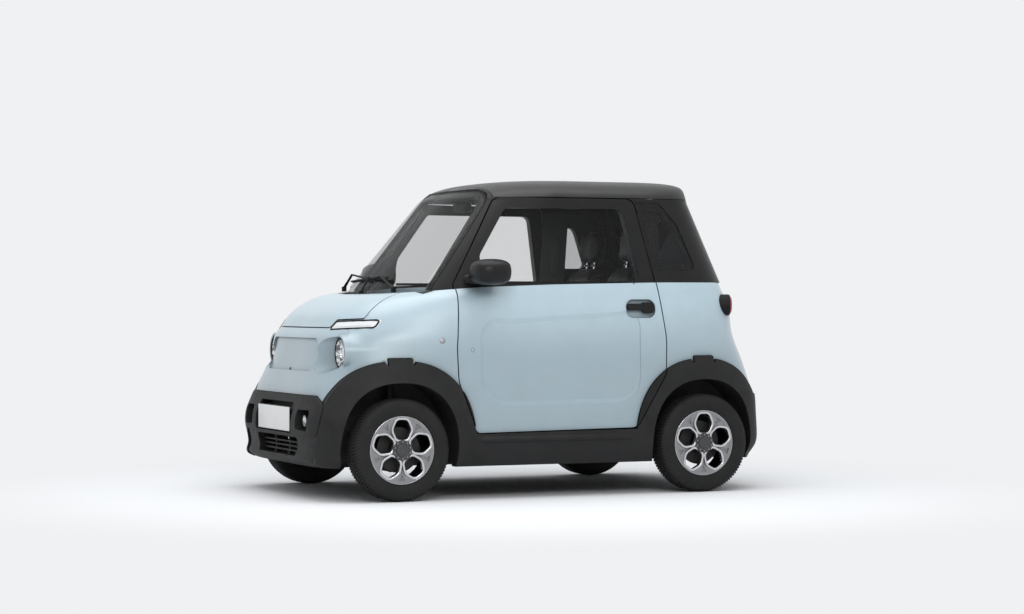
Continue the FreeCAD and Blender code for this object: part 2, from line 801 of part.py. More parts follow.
door_shell = door_shell.cut(embossing(EMBOSS, size("emboss_depth"), size("emboss_slope")))
HANDLE_RECESS = ((-396, 900, 40), (-396, 996, 40), (-562, 996, 42), (-562, 900, 42))
handle_depth = size("handle_depth")
handle_space = side_prism(HANDLE_RECESS, size("cabin_half") - 40, FAR)
door_shell = main_solid(door_shell.cut(handle_space.cut(body_form(-handle_depth))))
handle_skin = skin_half(957)
handle = side_prism([
    (-400, 939, 12), (-400, 974, 12), (-505, 974, 4), (-505, 939, 4)],
    handle_skin - 6, handle_skin + 9)
handle_post = box(-416, -404, handle_skin - 40, handle_skin, 946, 966)
handle_block = side_prism([
    (-490, 924, 15), (-490, 981, 15), (-550, 981, 18), (-550, 924, 18)],
    handle_skin - 40, handle_skin + 11)
lock = cylinder_y(-530, handle_skin, handle_skin + 13, 948, 9)
handle = handle.fuse([handle_post, handle_block, lock])
handle = main_solid(handle.cut(body_form(size("joint_gap") - handle_depth)))
door_upper = cabin_shell.common(door_prism).common(above_belt).cut(door_glass_prism)
door_upper = main_solid(door_upper)
door_clad = body_clad.common(door_prism.common(box(-FAR, FAR, 0, FAR, 300, 800)))
door_clad = door_clad.cut(door_inside)
door_clad_front = door_clad.common(front_flare)
door_clad_rear = door_clad.common(rear_flare)
door_glass = main_solid(cabin_form(-6).common(door_glass_prism).cut(cabin_form(-6 - pane)))

door_trim_solids = [
    door_upper, main_solid(door_clad_front), main_solid(door_clad_rear), handle]

MIRROR_OUTLINE = (
    (520, 1093), (484, 1150), (409, 1193), (339, 1190), (301, 1151), (292, 1114),
    (304, 1074), (382, 1057), (478, 1072))
MIRROR_CENTRE = Vector(402, 0, 1124)


def mirror_wire(y, share):
    points = []
    for x, z in MIRROR_OUTLINE:
        reach = Vector(x, 0, z) - MIRROR_CENTRE
        points.append(MIRROR_CENTRE + reach * share + Vector(0, y, 0))
    return periodic_wire(points)


mirror = Part.makeLoft([
    mirror_wire(750, 0.56), mirror_wire(768, 0.86), mirror_wire(800, 1.0),
    mirror_wire(842, 0.95), mirror_wire(872, 0.80), mirror_wire(882, 0.55)], True)
arm = rod(Vector(440, 664, 1104), Vector(418, 790, 1112), 20)
mirror = mirror.fuse(arm).cut(cabin_form(0.4)).common(box(0, FAR, 600, FAR, BELT + 6, FAR))
mirror = main_solid(mirror)

for side_name, turn in (("left", False), ("right", True)):
    def sided(shape):
        return mirrored(shape) if turn else shape

    keep("door_" + side_name, sided(door_shell))
    keep("door_trim_" + side_name, Part.makeCompound([sided(s) for s in door_trim_solids]))
    keep("door_glass_" + side_name, sided(door_glass))
    keep("mirror_" + side_name, sided(mirror))

# Roof, pillars and fixed glass

roof_seam = 250
header = 1534
opening_clear = opening_prism.fuse(mirrored(opening_prism))
roof_low = door_top + GAP
roof = cabin_shell.common(box(-FAR, roof_seam, -FAR, FAR, roof_low, FAR))
roof = roof.cut(hatch_cut)
keep("roof", main_solid(roof))

screen_line = side_prism([
    (644, BELT - 80, 0), (318, header, 60), (FAR, header, 0), (FAR, BELT - 80, 0)],
    -FAR, FAR)
front_frame = cabin_shell.common(box(-100, FAR, -FAR, FAR, 960, FAR)).cut(opening_clear)
front_frame = front_frame.cut(box(-FAR, roof_seam + SEAM, -FAR, FAR, roof_low - SEAM, FAR))
front_frame = front_frame.cut(body.common(below_belt))
screen = cabin_form(-4).common(screen_line).cut(cabin_form(-4 - pane))
screen = screen.cut(body.common(below_belt))
front_frame = front_frame.cut(screen_line)
keep("windscreen_frame", main_solid(front_frame))
keep("windscreen", main_solid(screen))

rear_side = cabin_shell.common(box(-FAR, -420, 0, FAR, 1000, roof_low - SEAM))
rear_side = rear_side.common(above_belt).cut(opening_prism).cut(hatch_cut)
quarter_window = side_prism([
    (-556, BELT + 70, 20), (-838, BELT + 70, 30), (-742, 1380, 120), (-640, 1496, 80),
    (-500, 1500, 10)])
quarter_hole = side_prism([
    (-590, BELT + 96, 16), (-790, BELT + 96, 24), (-712, 1370, 90), (-640, 1456, 40),
    (-540, 1456, 10)])
rear_side = rear_side.cut(quarter_hole).cut(quarter_window.cut(cabin_form(-7)))
rear_side = main_solid(rear_side)
keep("rear_pillars", both_sides(rear_side))
quarter_glass = cabin_form(-1.5).common(quarter_window).cut(cabin_form(-6.5))
quarter_glass = quarter_glass.cut(opening_prism).cut(hatch_cut)
keep("quarter_glass", both_sides(main_solid(quarter_glass)))

# Floor pan and chassis

floor_top = size("floor_top")
floor_low = floor_top - size("floor_thick")
well_inner = 462
cabin_floor = plan_prism([
    (AXLE_X - 330, -660, 20), (AXLE_X - 330, 660, 20),
    (330 - AXLE_X, 660, 20), (330 - AXLE_X, -660, 20)], floor_low, floor_top)
tunnel_half = well_inner - 12
shelf_top = 560
bulkhead_x = -560
nose_floor = box(AXLE_X - 331, 1100, -tunnel_half, tunnel_half, floor_low, floor_top)
rear_floor = box(bulkhead_x - 18, 331 - AXLE_X, -tunnel_half, tunnel_half, floor_low, floor_top)
footwell_wall = box(630, 652, -tunnel_half, tunnel_half, floor_top - 1, 620)
bulkhead = box(630, 652, -600, 600, 612, 940)
rear_bulkhead = box(
    bulkhead_x - 18, bulkhead_x, -tunnel_half, tunnel_half, floor_top - 1, shelf_top)
shelf = box(-1130, bulkhead_x, -tunnel_half, tunnel_half, shelf_top - 20, shelf_top)
floor_pan = cabin_floor.fuse(
    [nose_floor, rear_floor, footwell_wall, bulkhead, rear_bulkhead, shelf])
keep("floor_pan", main_solid(floor_pan))

rail_y = size("rail_y")
rail_half = size("rail_width") / 2
rails = []
for side_name, turn in (("left", 1), ("right", -1)):
    corner = Vector(-1120, turn * rail_y - rail_half, floor_low - size("rail_depth"))
    rails.append(primitive(
        "Box", "rail_" + side_name, corner, Length="Sizes.rail_length",
        Width="Sizes.rail_width", Height="Sizes.rail_depth"))
for number, beam_x in enumerate((-1080, -560, 420, 1040), start=1):
    corner = Vector(beam_x - rail_half, -rail_y, floor_low - size("rail_depth") + 5)
    rails.append(primitive(
        "Box", "cross_beam_%d" % number, corner, Length="Sizes.rail_width",
        Width="2 * Sizes.rail_y", Height="Sizes.rail_depth - 10"))
joined("underframe", rails)

# Wheel liners

liner_wall = 4
liner_room = moved(body_clad, x=-size("nose_wall") - 2).common(
    moved(body_clad, x=size("nose_wall") + 2))


def liner(centre_x):
    reach = size("arch_reach") + 22
    rise = size("arch_rise") + 14
    outer_form = superellipse_prism(centre_x, reach, rise, well_inner, FAR)
    inner_form = superellipse_prism(
        centre_x, reach - liner_wall, rise - liner_wall, well_inner + liner_wall, FAR)
    shell = outer_form.cut(inner_form).common(box(-FAR, FAR, 0, FAR, FLOOR + 14, 900))
    shell = shell.cut(box(centre_x - 190, centre_x + 190, 0, well_inner + 20, 0, AXLE_Z + 80))
    shell = shell.common(body_inside).common(liner_room)
    return main_solid(shell)


keep("wheel_liners", Part.makeCompound([
    piece for x in (AXLE_X, -AXLE_X) for piece in (liner(x), mirrored(liner(x)))]))

# Running gear

tyre_half = size("tyre_width") / 2
kingpin_y = WHEEL_Y - size("kingpin_inset")
upright_low = AXLE_Z - 78
upright_high = AXLE_Z + 62
joint_gap = size("joint_gap")
links = []
for turn in (1, -1):
    ball = Vector(AXLE_X, turn * kingpin_y, upright_low - 24)
    ball_post = Part.makeCylinder(9, 24 - joint_gap, ball)
    front_foot = Vector(AXLE_X + 110, turn * (rail_y + 34), AXLE_Z - 84)
    rear_foot = Vector(AXLE_X - 150, turn * (rail_y + 34), AXLE_Z - 84)
    ball_joint = Part.makeSphere(16, ball)
    links.append(ball_joint.fuse([
        rod(front_foot, ball, 13), rod(rear_foot, ball, 13), ball_post]))
    strut_foot = Vector(AXLE_X, turn * kingpin_y, upright_high + joint_gap)
    strut_head = Vector(AXLE_X - 16, turn * (kingpin_y - 60), AXLE_Z + 300)
    lower_tube = Part.makeCylinder(18, 34, strut_foot)
    strut_joint = Part.makeSphere(21, strut_foot + Vector(0, 0, 34))
    strut = rod(strut_foot + Vector(0, 0, 34), strut_head, 20)
    links.append(lower_tube.fuse([strut_joint, strut]))
keep("front_suspension", Part.makeCompound([main_solid(link) for link in links]))

hub_back = tyre_half - 58
beam_end = WHEEL_Y + hub_back - joint_gap
joined("rear_axle", [
    primitive("Cylinder", "axle_beam", Vector(-AXLE_X, -beam_end, AXLE_Z), TO_LEFT,
              Radius="Sizes.axle_radius",
              Height="Sizes.track + Sizes.tyre_width - 116 - 2 * Sizes.joint_gap"),
    primitive("Cylinder", "gear_case", Vector(-AXLE_X, -95, AXLE_Z), TO_LEFT,
              Radius="Sizes.gear_case_radius", Height="190")])
motor_centre = Vector(
    -AXLE_X + size("gear_case_radius") + size("motor_radius") + 1,
    -size("motor_length") / 2, AXLE_Z + 70)
motor = primitive(
    "Cylinder", "drive_unit", motor_centre, TO_LEFT,
    Radius="Sizes.motor_radius", Height="Sizes.motor_length")
PIECES["drive_unit"] = motor

# Wheels

tyre_radius = size("tyre_radius")
rim_radius = size("rim_radius")
bead_radius = rim_radius - 14


def turned(profile, place_y):
    """Ring turned about a lateral axis. The profile holds lateral and radial distances."""
    points = [Vector(radial, lateral, 0) for lateral, radial in profile]
    face = Part.Face(Part.makePolygon(points + points[:1]))
    ring = face.revolve(Vector(0, 0, 0), Vector(0, 1, 0), 360)
    ring.translate(Vector(0, place_y, 0))
    return ring


def tyre_shape():
    shoulder = tyre_radius - 16
    half_profile = [
        (tyre_half - 24, tyre_radius), (tyre_half - 7, shoulder),
        (tyre_half, tyre_radius - 52), (tyre_half - 4, rim_radius + 14),
        (tyre_half - 16, rim_radius + 1), (tyre_half - 16, bead_radius + joint_gap)]
    other_half = [(-lateral, radial) for lateral, radial in reversed(half_profile)]
    return turned(half_profile + other_half, 0)


# Wheel face outlines: radial and lateral distance from the centre, and corner radius.
WINDOW_CENTRE = 101
WINDOW = (
    (49, 27, 26), (49, -27, 26), (0, -49, 34), (-49, -27, 26), (-49, 27, 26), (0, 49, 34))
POCKET_CENTRE = 138
POCKET = ((12, 19, 4), (12, -19, 4), (-17, 0, 4))


def wheel_prism(outline, scale, turn, low, high):
    """Prism through the wheel's face, turned about the axle. Zero turn is straight up."""
    centre = POCKET_CENTRE if outline is POCKET else WINDOW_CENTRE
    corners = [
        (centre + radial * scale, across * scale, radius * scale)
        for radial, across, radius in outline]
    prism = rounded_face(corners, lambda p: Vector(p.y, 0, p.x)).extrude(
        Vector(0, high - low, 0))
    prism.translate(Vector(0, low, 0))
    prism.rotate(Vector(0, 0, 0), Vector(0, 1, 0), turn)
    return prism


def rim_shape():
    """Alloy wheel seen with its face towards +Y: barrel, disc, ringed windows, pockets and hub."""
    flange_in = tyre_half - 16 + joint_gap
    flange_out = tyre_half - 10
    half_profile = [
        (flange_in, bead_radius), (flange_in, rim_radius),
        (flange_out, rim_radius), (flange_out, bead_radius - 4)]
    other_half = [(-lateral, radial) for lateral, radial in reversed(half_profile)]
    barrel = turned(other_half + half_profile, 0)
    disc_out = tyre_half - 12
    disc_edge = bead_radius - 4
    disc = turned([
        (disc_out - 30, 8), (disc_out - 26, disc_edge), (disc_out, disc_edge),
        (disc_out - 7, 60), (disc_out - 7, 8)], 0)
    well = cylinder_y(0, 0, tyre_half, 0, disc_edge + 1)
    windows = []
    rings = []
    pockets = []
    for index in range(int(size("windows"))):
        turn = 360.0 * index / size("windows")
        window = wheel_prism(WINDOW, 1.0, turn, 0, tyre_half)
        windows.append(window)
        ring = wheel_prism(WINDOW, 1.24, turn, disc_out - 22, disc_out + 3).common(well)
        lip = wheel_prism(WINDOW, 1.24, turn, flange_in, disc_out + 3)
        rings.append(ring.fuse(lip).cut(window))
        pockets.append(wheel_prism(
            POCKET, 1.0, turn + 180.0 / size("windows"), disc_out - 16, tyre_half))
    hub = Part.makeCylinder(
        size("hub_radius"), 42, Vector(0, disc_out - 46, 0), Vector(0, 1, 0))
    cap = Part.makeCylinder(29, 10, Vector(0, disc_out - 10, 0), Vector(0, 1, 0))
    disc = disc.cut(windows).fuse(rings).cut(pockets)
    return main_solid(barrel.fuse([disc, hub, cap]))


tyre = tyre_shape()
rim = rim_shape()
for end_name, centre_x in (("front", AXLE_X), ("rear", -AXLE_X)):
    for side_name, turn in (("left", 1), ("right", -1)):
        centre = Vector(centre_x, turn * WHEEL_Y, AXLE_Z)
        keep("tyre_%s_%s" % (end_name, side_name), tyre, centre)
        keep("rim_%s_%s" % (end_name, side_name), rim if turn > 0 else mirrored(rim), centre)

upright_half = size("upright_width") / 2
knuckle_left = joined("knuckle_left", [
    primitive("Cylinder", "stub_axle", Vector(AXLE_X, kingpin_y - 10, AXLE_Z), TO_LEFT,
              Radius="Sizes.stub_radius",
              Height="Sizes.kingpin_inset + 10 + Sizes.tyre_width / 2 - 58 - Sizes.joint_gap"),
    primitive("Box", "upright",
              Vector(AXLE_X - upright_half, kingpin_y - upright_half, upright_low),
              Length="Sizes.upright_width", Width="Sizes.upright_width", Height="140"),
    primitive("Cylinder", "brake_plate", Vector(AXLE_X, kingpin_y + 30, AXLE_Z), TO_LEFT,
              Radius="Sizes.brake_radius", Height="8")])
PIECES["knuckle_right"] = mirror_of(knuckle_left, "knuckle_right")

# Cabin fittings

seat_y = size("seat_y")
seat_half = size("seat_width") / 2
cushion_top = size("cushion_top")


def seat_shape():
    cushion = side_prism([
        (-30, cushion_top - 130, 30), (-10, cushion_top, 50), (-470, cushion_top - 40, 40),
        (-520, cushion_top - 130, 20)], seat_y - seat_half, seat_y + seat_half)
    back = side_prism([
        (-440, cushion_top - 30, 30), (-550, cushion_top - 60, 30), (-690, 1140, 50),
        (-600, 1140, 50)], seat_y - seat_half + 10, seat_y + seat_half - 10)
    head = side_prism([
        (-600, 1180, 30), (-676, 1180, 30), (-688, 1340, 34), (-610, 1340, 34)],
        seat_y - 130, seat_y + 130)
    posts = []
    for offset in (-50, 50):
        posts.append(rod(Vector(-636, seat_y + offset, 1100), Vector(-642, seat_y + offset, 1200), 6))
    plinth = box(-460, -80, seat_y - 170, seat_y + 170, floor_top, cushion_top - 129)
    return main_solid(cushion.fuse([back, head, plinth] + posts))


keep("seats", both_sides(seat_shape()))

dash = side_prism([
    (629, 720, 20), (629, 985, 10), (600, 1000, 20), (420, 985, 60), (400, 880, 50),
    (480, 720, 40)], -600, 600)
dash = dash.common(door_inside.fuse(box(0, 700, -560, 560, 600, 1100)))
keep("dashboard", main_solid(dash))

wheel_centre = Vector(size("steering_x"), seat_y, size("steering_z"))
column_tilt = math.radians(24)
column_axis = Vector(-math.cos(column_tilt), 0, math.sin(column_tilt))
to_column = FreeCAD.Rotation(Vector(0, 0, 1), column_axis)
wheel_spoke = primitive(
    "Box", "wheel_spoke", wheel_centre, to_column, Length="18",
    Width="2 * Sizes.steering_radius", Height="32")
spoke_corner = to_column.multVec(Vector(-9, -size("steering_radius"), -16))
wheel_spoke.Placement = FreeCAD.Placement(wheel_centre + spoke_corner, to_column)
joined("steering_wheel", [
    primitive("Torus", "wheel_ring", wheel_centre, to_column,
              Radius1="Sizes.steering_radius", Radius2="Sizes.steering_grip"),
    primitive("Cylinder", "wheel_boss", wheel_centre - column_axis * 30, to_column,
              Radius="46", Height="40"),
    wheel_spoke,
    primitive("Cylinder", "column", wheel_centre - column_axis * 190, to_column,
              Radius="20", Height="165")])

doc.recompute()

# Check and write

for piece in doc.Objects:
    if "Invalid" in piece.State or "Error" in piece.State:
        raise RuntimeError("failed: " + piece.Label)
os.makedirs("parts", exist_ok=True)
for name, piece in PIECES.items():
    if piece.Shape.isNull() or not piece.Shape.isValid():
        raise RuntimeError("bad shape: " + name)
    piece.Shape.exportStep("parts/%s.step" % name)
    print(name, len(piece.Shape.Solids), round(piece.Shape.Volume / 1e6, 2))
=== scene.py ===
import math
import random

import bmesh
import bpy
from mathutils import Matrix, Vector
from mathutils.bvhtree import BVHTree


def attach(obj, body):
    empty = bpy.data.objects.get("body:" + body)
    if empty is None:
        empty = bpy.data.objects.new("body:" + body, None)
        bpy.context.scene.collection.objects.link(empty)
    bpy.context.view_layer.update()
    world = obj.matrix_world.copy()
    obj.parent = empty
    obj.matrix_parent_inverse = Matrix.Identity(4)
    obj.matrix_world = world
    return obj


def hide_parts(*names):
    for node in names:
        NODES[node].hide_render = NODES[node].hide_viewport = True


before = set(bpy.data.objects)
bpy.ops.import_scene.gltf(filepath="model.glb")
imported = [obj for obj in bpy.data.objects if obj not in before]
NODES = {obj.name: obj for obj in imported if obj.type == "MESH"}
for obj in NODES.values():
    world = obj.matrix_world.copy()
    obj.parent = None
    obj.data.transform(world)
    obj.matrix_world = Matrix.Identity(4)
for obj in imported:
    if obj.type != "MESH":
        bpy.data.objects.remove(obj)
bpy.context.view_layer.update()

BACKDROP = (0.868, 0.878, 0.891, 1.0)
WHEEL_X, WHEEL_Y, WHEEL_Z = 0.835, 0.67, 0.254


# Materials

def fill(tree, node, inputs):
    """Sets a node's inputs, each to a value or to another node's output."""
    for key, value in inputs.items():
        if isinstance(value, bpy.types.NodeSocket):
            tree.links.new(value, node.inputs[key])
        else:
            node.inputs[key].default_value = value


def new_node(tree, kind, inputs=None, **settings):
    node = tree.nodes.new("ShaderNode" + kind)
    for key, value in settings.items():
        setattr(node, key, value)
    fill(tree, node, inputs or {})
    return node


def new_material(name):
    material = bpy.data.materials.new(name)
    material.use_nodes = True
    tree = material.node_tree
    tree.nodes.clear()
    shader = new_node(tree, "BsdfPrincipled")
    new_node(tree, "OutputMaterial", {0: shader.outputs[0]})
    return material, tree, shader


def object_place(tree):
    """Object coordinates, which here are the car's own metres."""
    return new_node(tree, "TexCoord").outputs["Object"]


def part_of(tree, source, axis):
    return new_node(tree, "SeparateXYZ", {0: source}).outputs[axis]


def calculate(tree, operation, *values):
    return new_node(tree, "Math", dict(enumerate(values)), operation=operation).outputs[0]


def texture(tree, kind, scale, **values):
    return new_node(tree, kind, {"Scale": scale, "Vector": object_place(tree), **values})


def spread(tree, source, low, high, start=0.0, end=1.0, **settings):
    """Maps a range, 0 to 1 unless it is given, onto another one."""
    inputs = {"Value": source, "From Min": start, "From Max": end, "To Min": low, "To Max": high}
    return new_node(tree, "MapRange", inputs, **settings).outputs[0]


def two_tone(tree, source, first, second, start=0.35, end=0.65):
    ramp = new_node(tree, "ValToRGB", {0: source})
    dark, light = ramp.color_ramp.elements
    dark.position, light.position = start, end
    dark.color, light.color = (*first, 1.0), (*second, 1.0)
    return ramp.outputs[0]


def relief(tree, source, distance, strength):
    inputs = {"Distance": distance, "Strength": strength, "Height": source}
    return new_node(tree, "Bump", inputs).outputs[0]


def shade(base, factor):
    return tuple(min(1.0, channel * factor) for channel in base)


def plastic(name, colour, rough, grain_size, grain_depth, vary=0.12, specular=0.5, **sockets):
    """Moulded plastic, rubber or paint: mottled tone, uneven gloss and a fine surface grain."""
    material, tree, shader = new_material(name)
    cloud = texture(tree, "TexNoise", 9.0, Detail=4.0, Roughness=0.6).outputs["Fac"]
    patch = texture(tree, "TexNoise", 23.0, Detail=6.0).outputs["Fac"]
    grain = texture(tree, "TexVoronoi", 1.0 / grain_size).outputs["Distance"]
    fill(tree, shader, {"Base Color": two_tone(tree, cloud, shade(colour, 1 - vary),
        shade(colour, 1 + vary)), "Roughness": spread(tree, patch, rough * 0.82,
        min(1.0, rough * 1.18)), "Specular IOR Level": specular, "Normal": relief(tree, grain,
        grain_depth, 0.5)})
    fill(tree, shader, {key.replace("_", " "): value for key, value in sockets.items()})
    return material


def glass(name, colour, clear, edge):
    """Thin glazing: the colour is its tint, and it turns to a mirror at a glancing angle."""
    material, tree, shader = new_material(name)
    facing = new_node(tree, "LayerWeight", {"Blend": 0.28}).outputs["Fresnel"]
    haze = texture(tree, "TexNoise", 40.0, Detail=3.0).outputs["Fac"]
    fill(tree, shader, {"Base Color": (*colour, 1.0), "IOR": 1.45, "Alpha": spread(tree, facing,
        clear, edge), "Roughness": spread(tree, haze, 0.01, 0.05)})
    return material


# Heights between which painted light lifts the paint from its lower level to its upper level: the
# upper body is painted lighter, as if lit from above.
PAINTED_LIGHT_LOW_Z, PAINTED_LIGHT_HIGH_Z = 0.66, 0.99
LOW_PAINTED_LIGHT, HIGH_PAINTED_LIGHT = 0.92, 1.27


def paint_shade_and_light(material, reach, darkest):
    """Paints shade into the base colour of hollows and creases, darker the less sky they see, and
    paints light onto the upper body, lighter with height.
    """
    tree = material.node_tree
    shader = tree.nodes["Principled BSDF"]
    source = shader.inputs["Base Color"].links[0].from_socket
    sky = new_node(tree, "AmbientOcclusion", {"Distance": reach}, samples=8).outputs["AO"]
    # Painted shade: ambient occlusion darkens the base colour in hollows, creases and recesses.
    hollow_shade = spread(tree, calculate(tree, "POWER", sky, 1.3), darkest, 1.0)
    # Painted light: the base colour grows lighter with height, standing in for light from above.
    rise = spread(tree, part_of(tree, object_place(tree), "Z"), LOW_PAINTED_LIGHT, HIGH_PAINTED_LIGHT, PAINTED_LIGHT_LOW_Z,
        PAINTED_LIGHT_HIGH_Z, interpolation_type="SMOOTHSTEP")
    tone = calculate(tree, "MULTIPLY", hollow_shade, rise)
    scaled = new_node(tree, "VectorMath", {0: source, "Scale": tone}, operation="SCALE")
    tree.links.new(scaled.outputs[0], shader.inputs["Base Color"])


PAINT = plastic("paint_blue", (0.325, 0.418, 0.468), 0.36, 0.0035, 0.00002, 0.02, specular=0.5,
    Coat_Weight=0.7, Coat_Roughness=0.28)
# The blue paint gets painted shade in its hollows and painted light on its upper body.
paint_shade_and_light(PAINT, 0.14, 0.26)
TRIM = plastic("trim_black", (0.01, 0.01, 0.0105), 0.34, 0.0009, 0.00004, specular=0.22)
CLAD = plastic("clad_plastic", (0.017, 0.017, 0.0175), 0.58, 0.0013, 0.0002, specular=0.2)
DARK = plastic("dark_plastic", (0.006, 0.006, 0.0065), 0.5, 0.001, 0.00012, specular=0.18)
INTERIOR = plastic("interior_plastic", (0.034, 0.034, 0.035), 0.62, 0.0012, 0.00018, specular=0.15)
RUBBER = plastic("tyre_rubber", (0.016, 0.016, 0.0162), 0.66, 0.001, 0.0001, specular=0.18)
FABRIC = plastic("seat_leather", (0.005, 0.005, 0.0052), 0.44, 0.0016, 0.00025, specular=0.25)
STEEL = plastic("bright_steel", (0.34, 0.34, 0.35), 0.38, 0.0016, 0.0001, Metallic=1.0)
IRON = plastic("cast_iron", (0.03, 0.029, 0.028), 0.55, 0.002, 0.00025, Metallic=0.6)
LAMP_WHITE = plastic("lamp_white", (0.74, 0.76, 0.78), 0.14, 0.003, 0.0001, 0.03, Coat_Weight=1.0)
PLATE = plastic("plate_white", (0.74, 0.745, 0.75), 0.4, 0.002, 0.00002, 0.015)
BRIGHT = plastic("machined_alloy", (0.58, 0.58, 0.6), 0.24, 0.001, 0.00002, 0.04, Metallic=1.0)
CHROME = plastic("chrome", (0.82, 0.82, 0.84), 0.09, 0.004, 0.00001, 0.01, Metallic=1.0)
CLEAR = glass("clear_glass", (0.055, 0.056, 0.057), 0.08, 0.28)
HUB = plastic("hub_grey", (0.04, 0.04, 0.041), 0.36, 0.0012, 0.0001)
WEB = plastic("web_grey", (0.21, 0.21, 0.214), 0.3, 0.0012, 0.00006, Metallic=1.0)
TINT = glass("dark_glass", (0.004, 0.004, 0.0045), 0.9, 1.0)
QUARTER = glass("quarter_glass_tint", (0.02, 0.02, 0.021), 0.26, 0.8)
LENS = glass("lamp_lens", (0.6, 0.64, 0.66), 0.03, 0.16)
MIRROR = plastic("mirror_glass", (0.5, 0.52, 0.53), 0.03, 0.004, 0.00001, 0.01, Metallic=1.0)
TAIL = plastic("tail_red", (0.3, 0.004, 0.006), 0.12, 0.004, 0.0001, Coat_Weight=1.0)


def painted_facet_reflections():
    """Lamp reflector: metallic facets with painted reflections, a base colour per facet from dark
    to bright standing in for what each facet mirrors.
    """
    material, tree, shader = new_material("painted_facet_reflections")
    cells = texture(tree, "TexVoronoi", 74.0, Randomness=0.75).outputs
    patch = texture(tree, "TexNoise", 300.0, Detail=2.0).outputs["Fac"]
    # Painted reflection: each Voronoi cell gets its own base colour, dark to bright.
    fill(tree, shader, {"Base Color": two_tone(tree, part_of(tree, cells["Color"], "X"),
        (0.035, 0.035, 0.037), (0.8, 0.8, 0.81), 0.25, 0.75), "Metallic": 0.85,
        "Roughness": spread(tree, patch, 0.1, 0.2), "Normal": relief(tree, cells["Distance"],
        0.0015, 0.6)})
    return material


PAINTED_FACETS = painted_facet_reflections()
ROOF = plastic("roof_black", (0.016, 0.016, 0.0163), 0.42, 0.0011, 0.00006, specular=0.3,
    Coat_Weight=0.15, Coat_Roughness=0.32)


def wheel_alloy():
    """Gunmetal on the wheel's face, at its fixed lateral place, and painted shade behind it: the
    casting there is near black, as if unlit.
    """
    material, tree, shader = new_material("alloy_grey")
    aside = calculate(tree, "ABSOLUTE", part_of(tree, object_place(tree), "Y"))
    face = spread(tree, aside, 0.0, 1.0, WHEEL_Y + 0.053, WHEEL_Y + 0.059)
    cloud = texture(tree, "TexNoise", 60.0, Detail=5.0).outputs["Fac"]
    patch = texture(tree, "TexNoise", 140.0, Detail=3.0).outputs["Fac"]
    # Painted shade: the base colour drops to near black behind the face, by lateral place.
    tint = calculate(tree, "MULTIPLY", spread(tree, cloud, 0.85, 1.0), face)
    fill(tree, shader, {"Base Color": two_tone(tree, tint, (0.012, 0.012, 0.012),
        (0.29, 0.29, 0.3), 0.0, 1.0), "Metallic": 1.0, "Roughness": spread(tree, patch, 0.26, 0.4),
        "Normal": relief(tree, cloud, 0.00003, 0.4)})
    return material


ALLOY = wheel_alloy()

# Material, colour slot and the CAD nodes that have them.
LOOKS = ((PAINT, "body_blue", "bonnet fenders front_fascia quarter_panels rear_panel hatch_panel"
    " door_left door_right"), (TRIM, "trim_black",
    "windscreen_frame rear_pillars hatch_frame mirror_left mirror_right"
    " door_trim_left door_trim_right cowl"), (ROOF, "trim_black", "roof"), (CLAD, "clad_plastic",
    "cladding front_bumper rear_bumper"), (CLEAR, "clear_glass",
    "windscreen door_glass_left door_glass_right"), (TINT, "dark_glass", "hatch_glass"),
    (QUARTER, "dark_glass", "quarter_glass"), (LENS, "lamp_lens", "headlamps fog_lamps"),
    (LAMP_WHITE, "lamp_lens", "daytime_lamps"), (TAIL, "tail_lens", "tail_lamps"),
    (INTERIOR, "interior", "dashboard floor_pan wheel_liners steering_wheel"),
    (FABRIC, "seat_fabric", "seats"),
    (IRON, "steel", "underframe front_suspension rear_axle drive_unit knuckle_left knuckle_right"),
    (ALLOY, "alloy", "rim_front_left rim_front_right rim_rear_left rim_rear_right"),
    (RUBBER, "tyre", "tyre_front_left tyre_front_right tyre_rear_left tyre_rear_right"))
for look, slot_name, names in LOOKS:
    for name in names.split():
        for slot in NODES[name].material_slots:
            slot.link = "OBJECT"
            slot.material = look


# Building pieces

LEFT_RIGHT = (("left", 1), ("right", -1))
WHEELS = [("%s_%s" % (end, side), along * WHEEL_X, across) for end, along in (("front", 1),
    ("rear", -1)) for side, across in LEFT_RIGHT]


def linked(name, data):
    item = bpy.data.objects.new(name, data)
    bpy.context.scene.collection.objects.link(item)
    return item


def smooth(mesh, angle):
    mesh.shade_smooth()
    mesh.set_sharp_from_angle(angle=math.radians(angle))


def face_outward(mesh):
    form = bmesh.new()
    form.from_mesh(mesh)
    bmesh.ops.recalc_face_normals(form, faces=form.faces[:])
    form.to_mesh(mesh)
    form.free()


def add(name, form, material, body="chassis", angle=32.0):
    """A finished piece that rides on a CAD body, from a mesh or a list of parts."""
    mesh = shape(name, form) if isinstance(form, list) else form
    mesh.materials.append(material)
    smooth(mesh, angle)
    item = linked(name, mesh)
    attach(item, body)
    return item


def shape(name, parts):
    """One mesh from several lists of points and faces."""
    points, faces = [], []
    for part_points, part_faces in parts:
        start = len(points)
        points.extend(part_points)
        faces.extend([tuple(start + corner for corner in face) for face in part_faces])
    mesh = bpy.data.meshes.new(name)
    mesh.from_pydata([tuple(point) for point in points], [], faces)
    mesh.update()
    return mesh


def grid_faces(rows, columns, close_rows, close_columns):
    faces = []
    for row in range(rows if close_rows else rows - 1):
        for column in range(columns if close_columns else columns - 1):
            a = row * columns + column
            b = row * columns + (column + 1) % columns
            c = ((row + 1) % rows) * columns + (column + 1) % columns
            d = ((row + 1) % rows) * columns + column
            faces.append((a, b, c, d))
    return faces


def ends(rings, count):
    """Faces that close a tube's first and last ring."""
    return [tuple(reversed(range(count))), tuple(range((rings - 1) * count, rings * count))]


